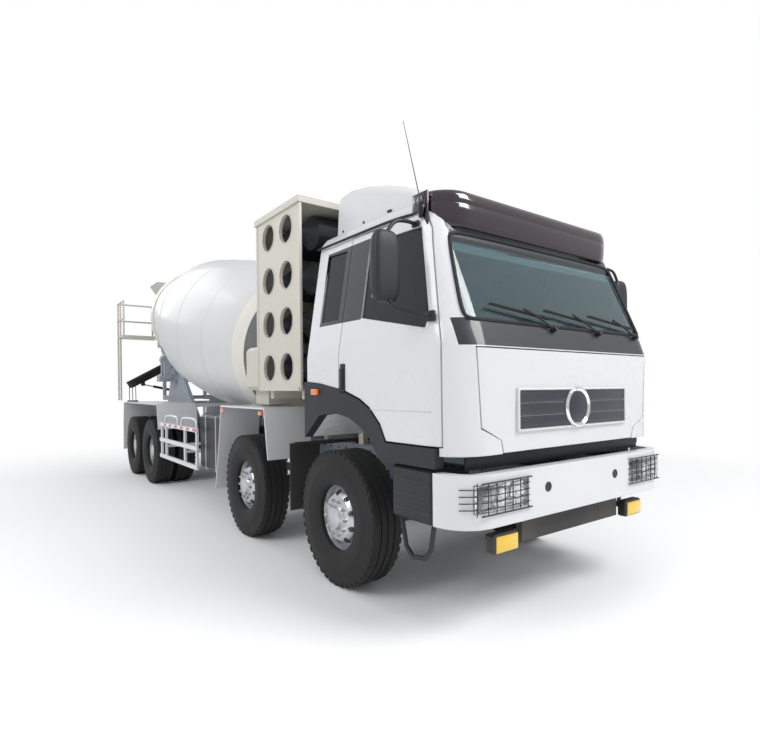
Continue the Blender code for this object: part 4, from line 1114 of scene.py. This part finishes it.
@dataclass
class CabSide:
    """Handle, lock, marker lamp, mirror, drip rail and step treads of one side."""

    side: int
    word: str
    half: float = 1.235

    def build(self) -> None:
        """Builds the pieces of one side."""
        door = f"door_{self.word}_body"
        x = self.side * self.half
        handle = Shape().block(
            (x - self.side * 0.004, -3.965, 1.585), (x + self.side * 0.010, -3.895, 1.825), 0.006,
        )
        handle.block((x, -3.952, 1.62), (x + self.side * 0.026, -3.908, 1.79), 0.010, 3)
        handle.piece(f"door_handle_{self.word}", Paint.PLASTIC, door, "dark_plastic")
        lock = Shape().rod(
            (x - self.side * 0.002, -3.93, 1.552), (x + self.side * 0.004, -3.93, 1.552), 0.013, 18,
        )
        lock.piece(f"door_lock_{self.word}", Paint.STEEL, door, "steel")
        crease = Shape().block(
            (x - self.side * 0.003, -4.98, 1.468), (x + self.side * 0.003, -3.90, 1.474), 0.002,
        )
        crease.piece(f"door_crease_{self.word}", Paint.CAB, door, "white_paint")
        lamp_x = self.side * 1.245
        lamp = Shape().block(
            (lamp_x - self.side * 0.004, -3.56, 1.575), (lamp_x + self.side * 0.022, -3.45, 1.625), 0.007, 3,
        )
        lamp.piece(f"fender_marker_{self.word}", Paint.AMBER, "cab", "lamp_yellow")
        Mirror(self.side, self.word).build()
        gutter = [(1.096, -3.32, 2.875), (1.096, -3.9, 2.872), (1.094, -4.6, 2.862), (1.06, -4.76, 2.842)]
        rail = Shape().tube([(self.side * (a + 0.004), b, c) for a, b, c in gutter], 0.010)
        rail.piece(f"drip_rail_{self.word}", Paint.RUBBER, "cab", "dark_plastic")
        treads = Shape()
        for height in (0.80, 0.90, 1.0):
            treads.block(
                (self.side * 1.218, -4.95, height), (self.side * 1.2235, -4.57, height + 0.012), 0.002,
            )
        treads.piece(f"step_treads_{self.word}", Paint.BLACK, "chassis", "black_metal")


@dataclass
class Mirror:
    """A rounded mirror on two tube arms, with its glass."""

    side: int
    word: str
    centre: tuple[float, float, float] = (1.42, -4.755, 2.42)
    half: tuple[float, float, float] = (0.100, 0.052, 0.235)
    back: float = 0.034  # where the head is cut flat for its glass
    arm_radius: float = 0.013
    arms: tuple[tuple[tuple[float, float, float], ...], ...] = (
        ((1.108, -4.70, 2.765), (1.25, -4.755, 2.755), (1.37, -4.755, 2.72), (1.42, -4.755, 2.60)),
        ((1.207, -4.97, 2.09), (1.30, -4.93, 2.10), (1.40, -4.80, 2.14), (1.42, -4.755, 2.25)),
    )

    def build(self) -> None:
        """Builds the mirror's pieces, which stand for the plain mirror."""
        door = f"door_{self.word}_body"
        middle = Vector((self.side * self.centre[0], *self.centre[1:]))
        head = Shape()
        reach = Vector(self.half)
        verts = bmesh.ops.create_uvsphere(head.mesh, u_segments=40, v_segments=28, radius=1.0)["verts"]
        for vert in verts:
            for axis in range(3):
                share = vert.co[axis]
                vert.co[axis] = math.copysign(abs(share) ** 0.50, share) * reach[axis]
            vert.co.y = min(vert.co.y, self.back)
            vert.co += middle
        head.piece(f"mirror_head_{self.word}", Paint.PLASTIC, door, "dark_plastic", 50)
        glass = Shape().block(
            middle + Vector((-0.082, 0.033, -0.205)), middle + Vector((0.082, 0.037, 0.205)), 0.0018
        )
        glass.piece(f"mirror_glass_{self.word}", Paint.CHROME, door, "steel")
        arms = Shape()
        side = self.side
        for path in self.arms:
            arms.tube([(side * x, y, z) for x, y, z in path], self.arm_radius)
        arms.block((side * 1.200, -5.005, 2.055), (side * 1.226, -4.935, 2.125), 0.008, 3)
        arms.block((side * 1.100, -4.735, 2.745), (side * 1.122, -4.665, 2.785), 0.006, 3)
        arms = arms.piece(f"mirror_arms_{self.word}", Paint.BLACK, door, "black_metal")
        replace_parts(arms, f"mirror_{self.word}")


@dataclass
class Seats:
    """Two stuffed seats and the bunk base behind them."""

    middles: tuple[float, float] = (-0.60, 0.60)

    def build(self) -> None:
        """Builds the seats, and lets them stand for the plain ones."""
        base = Shape().block((-0.94, -4.05, 1.505), (0.94, -3.46, 1.61), 0.01)
        for x in self.middles:
            base.block((x - 0.22, -4.16, 1.51), (x + 0.22, -3.72, 1.64), 0.02)
        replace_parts(base.piece("seat_bases", Paint.PLASTIC, "cab", "dark_plastic"), "seats")
        for index, x in enumerate(self.middles):
            for name, low, high in (
                ("cushion", (x - 0.27, -4.20, 1.645), (x + 0.27, -3.68, 1.80)),
                ("back", (x - 0.25, -3.70, 1.78), (x + 0.25, -3.53, 2.32)),
                ("headrest", (x - 0.14, -3.68, 2.34), (x + 0.14, -3.57, 2.50)),
            ):
                self.cushion(f"seat_{name}_{index + 1}", low, high)

    def cushion(self, name: str, low: Point, high: Point) -> None:
        """Builds one crowned cushion whose sides pull in between its corners.

        Args:
            name: The piece's name.
            low: Its lowest corner.
            high: Its highest corner.
        """
        middle, size = (Vector(low) + Vector(high)) / 2, Vector(high) - Vector(low)
        shape = Shape().block(low, high)
        bmesh.ops.subdivide_edges(shape.mesh, edges=shape.mesh.edges[:], cuts=7, use_grid_fill=True)
        for vert in shape.mesh.verts:
            off = Vector(((vert.co - middle)[axis] / (size[axis] / 2) for axis in range(3)))
            for axis in range(3):
                others = [off[other] for other in range(3) if other != axis]
                crown = (1 - others[0] ** 2) * (1 - others[1] ** 2)
                vert.co[axis] = middle[axis] + off[axis] * size[axis] / 2 * (0.86 + 0.14 * crown)
        made = shape.piece(name, Paint.CLOTH, "cab", "fabric", 180)
        soft = made.modifiers.new("round", "SUBSURF")
        soft.levels = soft.render_levels = 2


# ---------------------------------------------------------------- lamps


@dataclass
class FrontLamps:
    """Headlamps with wire guards, fog lamps and the bumper's round holes."""

    face_y: float = -5.28
    pocket: tuple[float, float, float, float] = (0.645, 1.115, 0.851, 1.018)  # inner, outer, low, high

    def build(self) -> None:
        """Builds the lamps of both sides."""
        inner, outer, low, high = self.pocket
        y, middle = self.face_y, (low + high) / 2
        for side, word in SIDES:
            box = Shape().block((side * inner, y + 0.026, low), (side * outer, y + 0.0446, high), 0.004)
            box.piece(f"headlamp_bowl_{word}", Paint.CHROME, "chassis", "steel")
            bulbs = Shape()
            for x, radius in ((0.735, 0.066), (0.895, 0.066)):
                profile = [
                    (0.0, radius), (0.010, radius + 0.004), (0.012, radius - 0.004), (0.004, radius * 0.55),
                    (0.0, 0.012), (0.008, 0.010), (0.009, 0.0),
                ]
                bulbs.turned(profile, (side * x, y + 0.026, middle), (0, -1, 0), 32)
            bulbs.piece(f"headlamp_reflectors_{word}", Paint.CHROME, "chassis", "steel")
            turn = Shape().block(
                (side * 0.985, y + 0.006, low + 0.012), (side * 1.095, y + 0.026, high - 0.012), 0.006,
            )
            turn.piece(f"indicator_{word}", Paint.LENS, "chassis", "lamp_yellow")
            lens = Shape().block((side * inner, y + 0.001, low), (side * outer, y + 0.005, high), 0.0015)
            lens.piece(f"headlamp_lens_{word}", Paint.LENS, "chassis", "glass")
            self.build_guard(side, word)
            hole = Shape().turned(
                [(0.0, 0.034), (0.003, 0.034), (0.005, 0.029), (0.001, 0.026), (0.001, 0.0)],
                (side * 0.425, y, 0.94), (0, -1, 0), 32,
            )
            hole.turned([(-0.0, 0.0), (0.0, 0.034)], (side * 0.425, y, 0.94), (0, -1, 0), 32)
            hole.piece(f"tow_hole_{word}", Paint.BLACK, "chassis", "black_metal")
            fog = Shape().block((side * 0.695, y + 0.042, 0.558), (side * 0.905, y + 0.052, 0.664), 0.004)
            fog.piece(f"fog_lens_{word}", Paint.YELLOW, "chassis", "lamp_yellow")

    def build_guard(self, side: int, word: str) -> None:
        """Builds one headlamp's wire guard.

        Args:
            side: 1 for the left, -1 for the right.
            word: The side's name.
        """
        _, outer, low, high = self.pocket
        wires = Shape()
        y = self.face_y - 0.014
        for step in range(4):
            height = low + (high - low) * (step + 0.5) / 4
            path = [
                (0.625, y + 0.014), (0.640, y), (0.95, y), (1.06, y + 0.010), (1.15, y + 0.050),
                (1.20, y + 0.10),
            ]
            wires.tube([(side * a, b, height) for a, b in path], 0.0035)
        for step in range(7):
            x = 0.66 + (outer - 0.66) * step / 6
            back = max(x - 1.0, 0.0) ** 2 * 1.9
            wires.tube(
                [(side * x, y + back, low - 0.020), (side * x, y + back - 0.0005, high + 0.020)], 0.0035,
                smooth=False,
            )
        wires.piece(f"headlamp_guard_{word}", Paint.BLACK, "chassis", "black_metal")


@dataclass
class RearLamps:
    """Tail lamps behind the rear mudguards and side markers along the truck."""

    face_y: float = 4.632

    def build(self) -> None:
        """Builds the lamps."""
        for side, word in SIDES:
            case = Shape().block(
                (side * 0.70, self.face_y, 1.03), (side * 1.12, self.face_y + 0.040, 1.16), 0.006,
            )
            case.piece(f"tail_lamp_case_{word}", Paint.BLACK, "chassis", "black_metal")
            for name, paint, near, far in (
                ("stop", Paint.RED, 0.71, 0.845), ("turn", Paint.AMBER, 0.85, 0.985),
                ("reverse", Paint.LENS, 0.99, 1.11),
            ):
                lens = Shape().block(
                    (side * near, self.face_y + 0.036, 1.042), (side * far, self.face_y + 0.052, 1.148),
                    0.005, 3,
                )
                lens.piece(f"tail_{name}_{word}", paint, "chassis", "lamp_yellow")
            for index, y in enumerate((-2.38, -1.28)):
                lamp = Shape().block((side * 1.243, y, 1.36), (side * 1.258, y + 0.09, 1.40), 0.004)
                lamp.piece(f"side_marker_{index + 1}_{word}", Paint.AMBER, "chassis", "lamp_yellow")


# ---------------------------------------------------------------- rack, guards and rear end


@dataclass
class RackTrim:
    """Rims of the rack's round holes, its edge angles and the bottles' valves."""

    columns: tuple[float, float] = (-2.843, -2.447)
    first_row: float = 1.843
    row_pitch: float = 0.442
    hole_radius: float = 0.135

    def build(self) -> None:
        """Builds the rack's trim."""
        for side, word in SIDES:
            rims, valves = Shape(), Shape()
            face = side * 1.19
            for column in self.columns:
                for row in range(4):
                    centre = (face, column, self.first_row + self.row_pitch * row)
                    radius = self.hole_radius
                    rims.turned(
                        [
                            (-0.030, radius - 0.001), (0.0035, radius - 0.001), (0.005, radius + 0.004),
                            (0.0035, radius + 0.011), (0.0005, radius + 0.011),
                        ],
                        centre, (side, 0, 0), 40,
                    )
                    neck = Vector((side * 1.05, column, centre[2]))
                    valves.rod(neck, neck + Vector((side * 0.045, 0, 0)), 0.026, 14)
                    valves.block(
                        neck + Vector((side * 0.045, -0.018, -0.03)),
                        neck + Vector((side * 0.075, 0.018, 0.03)), 0.004,
                    )
            rims.piece(f"rack_hole_rims_{word}", Paint.CREAM, "chassis", "rack_paint")
            valves.piece(f"bottle_valves_{word}", Paint.STEEL, "chassis", "steel")
            angles = Shape()
            for y in (-3.12, -2.17):
                angles.block(
                    (face - side * 0.02, y - 0.018, 1.612), (face + side * 0.006, y + 0.018, 3.345), 0.002,
                )
            angles.block((face - side * 0.02, -3.12, 1.612), (face + side * 0.006, -2.17, 1.648), 0.002)
            angles.piece(f"rack_edge_angles_{word}", Paint.CREAM, "chassis", "rack_paint")


@dataclass
class GuardTrim:
    """Hoops and striped tape on the side guards, bolts along the frame and the boxes' straps."""

    tape: float = 0.15

    def build(self) -> None:
        """Builds the trim of both sides."""
        for side, word in SIDES:
            tubes = Shape()
            for start in (-0.15, 0.75):
                path = [
                    (start, 1.10), (start, 1.18), (start + 0.06, 1.23), (start + 0.64, 1.23),
                    (start + 0.70, 1.18), (start + 0.70, 1.10),
                ]
                tubes.tube([(side * 1.225, y, z) for y, z in path], 0.016)
            tubes.piece(f"guard_hoops_{word}", Paint.WHITE, "chassis", "white_paint")
            for name, paint, offset in (("red", Paint.RED, 0), ("white", Paint.STRIPE_WHITE, 1)):
                strip = Shape()
                for step in range(offset, 12, 2):
                    y = -0.18 + self.tape * step
                    strip.block((side * 1.2455, y, 1.062), (side * 1.2475, y + self.tape, 1.098))
                strip.piece(f"tape_{name}_{word}", paint, "chassis", "white_paint")
            bolts = Shape()
            for step in range(60):
                y = -4.85 + 0.15 * step
                for height in (0.84, 1.0):
                    start = Vector((side * 0.465, y, height))
                    bolts.rod(start, start + Vector((side * 0.010, 0, 0)), 0.011, 6)
            bolts.piece(f"frame_bolts_{word}", Paint.CAST, "chassis", "cast_grey")
            straps = Shape()
            for y in (-0.62, -0.22):
                straps.block((side * 0.555, y, 0.545), (side * 1.126, y + 0.035, 1.286), 0.004)
            straps.piece(f"box_straps_{word}", Paint.STEEL, "chassis", "steel")


@dataclass
class RearTrim:
    """Blank plate, hopper rim, platform grid and control levers."""

    def build(self) -> None:
        """Builds the pieces at the truck's rear."""
        plate = Shape().block((-0.26, 4.556, 0.86), (0.26, 4.566, 0.98), 0.003)
        plate.piece("rear_plate", Paint.STRIPE_WHITE, "chassis", "white_paint")
        low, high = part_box("feed_hopper")
        rim = Shape()
        inset = 0.012
        corners = [
            (low.x + inset, low.y + inset), (high.x - inset, low.y + inset),
            (high.x - inset, high.y - inset), (low.x + inset, high.y - inset),
        ]
        for first, second in zip(corners, corners[1:] + corners[:1]):
            rim.rod((*first, high.z - 0.006), (*second, high.z - 0.006), 0.013, 12)
        rim.piece("hopper_rim", Paint.CREAM, "chassis", "rack_paint")
        grid = Shape()
        for step in range(12):
            y = 4.70 + 0.046 * step
            grid.block((-1.20, y, 2.788), (-0.53, y + 0.010, 2.7925), 0.001)
        grid.piece("platform_grid", Paint.CREAM, "chassis", "rack_paint")
        levers = Shape()
        for step in range(3):
            foot = Vector((-1.14 + 0.06 * step, 4.56, 1.415))
            levers.rod(foot, foot + Vector((0.0, 0.03, 0.34)), 0.007, 10)
            levers.rod(foot + Vector((0.0, 0.03, 0.34)), foot + Vector((0.0, 0.035, 0.39)), 0.015, 14, 0.012)
        levers.block((-1.18, 4.53, 1.402), (-0.98, 4.60, 1.425), 0.004)
        levers.piece("control_levers", Paint.BLACK, "chassis", "black_metal")


@dataclass
class Studio:
    """Floor, light and camera."""

    eye: tuple[float, float, float] = (-3.4715, -7.5251, 1.6269)
    yaw: float = 37.793
    pitch: float = -0.421
    roll: float = -0.517
    lens: float = 25.066
    shift: tuple[float, float] = (-0.02337, 0.02912)

    def build(self) -> None:
        """Builds the studio."""
        floor = Shape()
        bmesh.ops.create_grid(floor.mesh, x_segments=1, y_segments=1, size=150.0)
        data = bpy.data.meshes.new("floor")
        floor.mesh.to_mesh(data)
        floor.mesh.free()
        ground = bpy.data.objects.new("floor", data)
        ground.location.z = -0.001
        bpy.context.scene.collection.objects.link(ground)
        data.materials.append(self.floor_material())
        self.light_world()
        for name, place, size, power in (
            ("key", (3.0, -11.0, 9.0), 5.0, 850.0), ("side", (-10.0, -3.0, 8.5), 6.0, 480.0),
            ("back", (-3.0, 12.0, 8.0), 7.0, 300.0),
        ):
            lamp = bpy.data.lights.new(name, "AREA")
            lamp.size = size
            lamp.energy = power
            holder = bpy.data.objects.new(name, lamp)
            holder.location = place
            holder.rotation_euler = (
                Vector((0, -0.5, 1.5)) - Vector(place)
            ).to_track_quat("-Z", "Y").to_euler()
            bpy.context.scene.collection.objects.link(holder)
        self.place_camera()
        bpy.context.scene.view_settings.view_transform = "Standard"

    @staticmethod
    def floor_material() -> bpy.types.Material:
        """A pale matt floor that turns into the white background away from the truck.

        Returns:
            The material.
        """
        made = bpy.data.materials.new("studio_floor")
        made.use_nodes = True
        tree = made.node_tree
        shader = tree.nodes["Principled BSDF"]
        shader.inputs["Base Color"].default_value = (0.90, 0.90, 0.90, 1.0)
        shader.inputs["Roughness"].default_value = 0.95
        glow = tree.nodes.new("ShaderNodeEmission")
        glow.inputs["Color"].default_value = (1.0, 1.0, 1.0, 1.0)
        away = tree.nodes.new("ShaderNodeVectorMath")
        away.operation = "LENGTH"
        tree.links.new(tree.nodes.new("ShaderNodeTexCoord").outputs["Object"], away.inputs[0])
        fade = tree.nodes.new("ShaderNodeMapRange")
        for socket, number in zip(fade.inputs[1:5], (5.5, 10.0, 0.0, 1.0)):
            socket.default_value = number
        tree.links.new(away.outputs["Value"], fade.inputs[0])
        seen = tree.nodes.new("ShaderNodeMath")
        seen.operation = "MULTIPLY"
        tree.links.new(fade.outputs[0], seen.inputs[0])
        tree.links.new(tree.nodes.new("ShaderNodeLightPath").outputs["Is Camera Ray"], seen.inputs[1])
        mix = tree.nodes.new("ShaderNodeMixShader")
        tree.links.new(seen.outputs[0], mix.inputs[0])
        tree.links.new(shader.outputs[0], mix.inputs[1])
        tree.links.new(glow.outputs[0], mix.inputs[2])
        tree.links.new(mix.outputs[0], tree.nodes["Material Output"].inputs["Surface"])
        return made

    @staticmethod
    def light_world() -> None:
        """A white background for the camera, gloss and glass, and a plainer one as light."""
        world = bpy.data.worlds.new("studio")
        bpy.context.scene.world = world
        world.use_nodes = True
        tree = world.node_tree
        tree.nodes.clear()
        out = tree.nodes.new("ShaderNodeOutputWorld")
        light = tree.nodes.new("ShaderNodeBackground")
        light.inputs["Color"].default_value = (0.95, 0.97, 1.0, 1.0)
        light.inputs["Strength"].default_value = 0.68
        seen = tree.nodes.new("ShaderNodeBackground")
        seen.inputs["Color"].default_value = (1.0, 1.0, 1.0, 1.0)
        seen.inputs["Strength"].default_value = 1.0
        rays = tree.nodes.new("ShaderNodeLightPath")
        either = tree.nodes.new("ShaderNodeMath")
        either.operation = "MAXIMUM"
        tree.links.new(rays.outputs["Is Camera Ray"], either.inputs[0])
        tree.links.new(rays.outputs["Is Transmission Ray"], either.inputs[1])
        mix = tree.nodes.new("ShaderNodeMixShader")
        tree.links.new(either.outputs[0], mix.inputs[0])
        tree.links.new(light.outputs[0], mix.inputs[1])
        tree.links.new(seen.outputs[0], mix.inputs[2])
        tree.links.new(mix.outputs[0], out.inputs[0])

    def place_camera(self) -> None:
        """Puts the camera at the truck's right front corner."""
        camera = bpy.data.cameras.new("camera")
        camera.lens = self.lens
        camera.sensor_width = 36.0
        camera.shift_x, camera.shift_y = self.shift
        holder = bpy.data.objects.new("camera", camera)
        yaw, pitch, roll = (math.radians(angle) for angle in (self.yaw, self.pitch, self.roll))
        ahead = Vector((math.sin(yaw) * math.cos(pitch), math.cos(yaw) * math.cos(pitch), math.sin(pitch)))
        right = Vector((math.cos(yaw), -math.sin(yaw), 0))
        up = right.cross(ahead)
        right, up = right * math.cos(roll) + up * math.sin(roll), up * math.cos(roll) - right * math.sin(roll)
        turn = Matrix((right, up, -ahead)).transposed().to_4x4()
        holder.matrix_world = Matrix.Translation(self.eye) @ turn
        bpy.context.scene.collection.objects.link(holder)
        bpy.context.scene.camera = holder


def main() -> None:
    """Builds the truck's looks and the studio around it."""
    logging.basicConfig(level=logging.INFO, format="%(name)s: %(message)s")
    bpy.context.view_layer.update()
    Bodywork().build()
    for axle in (1, 2, 3, 4):
        for side, word in SIDES:
            Wheel(axle, side, word).build()
    Drum().build()
    CabFront().build()
    RoofTrim().build()
    for side, word in SIDES:
        CabSide(side, word).build()
    Seats().build()
    FrontLamps().build()
    RearLamps().build()
    RackTrim().build()
    GuardTrim().build()
    RearTrim().build()
    Studio().build()
    bpy.context.view_layer.update()


if __name__ == "__main__":
    main()
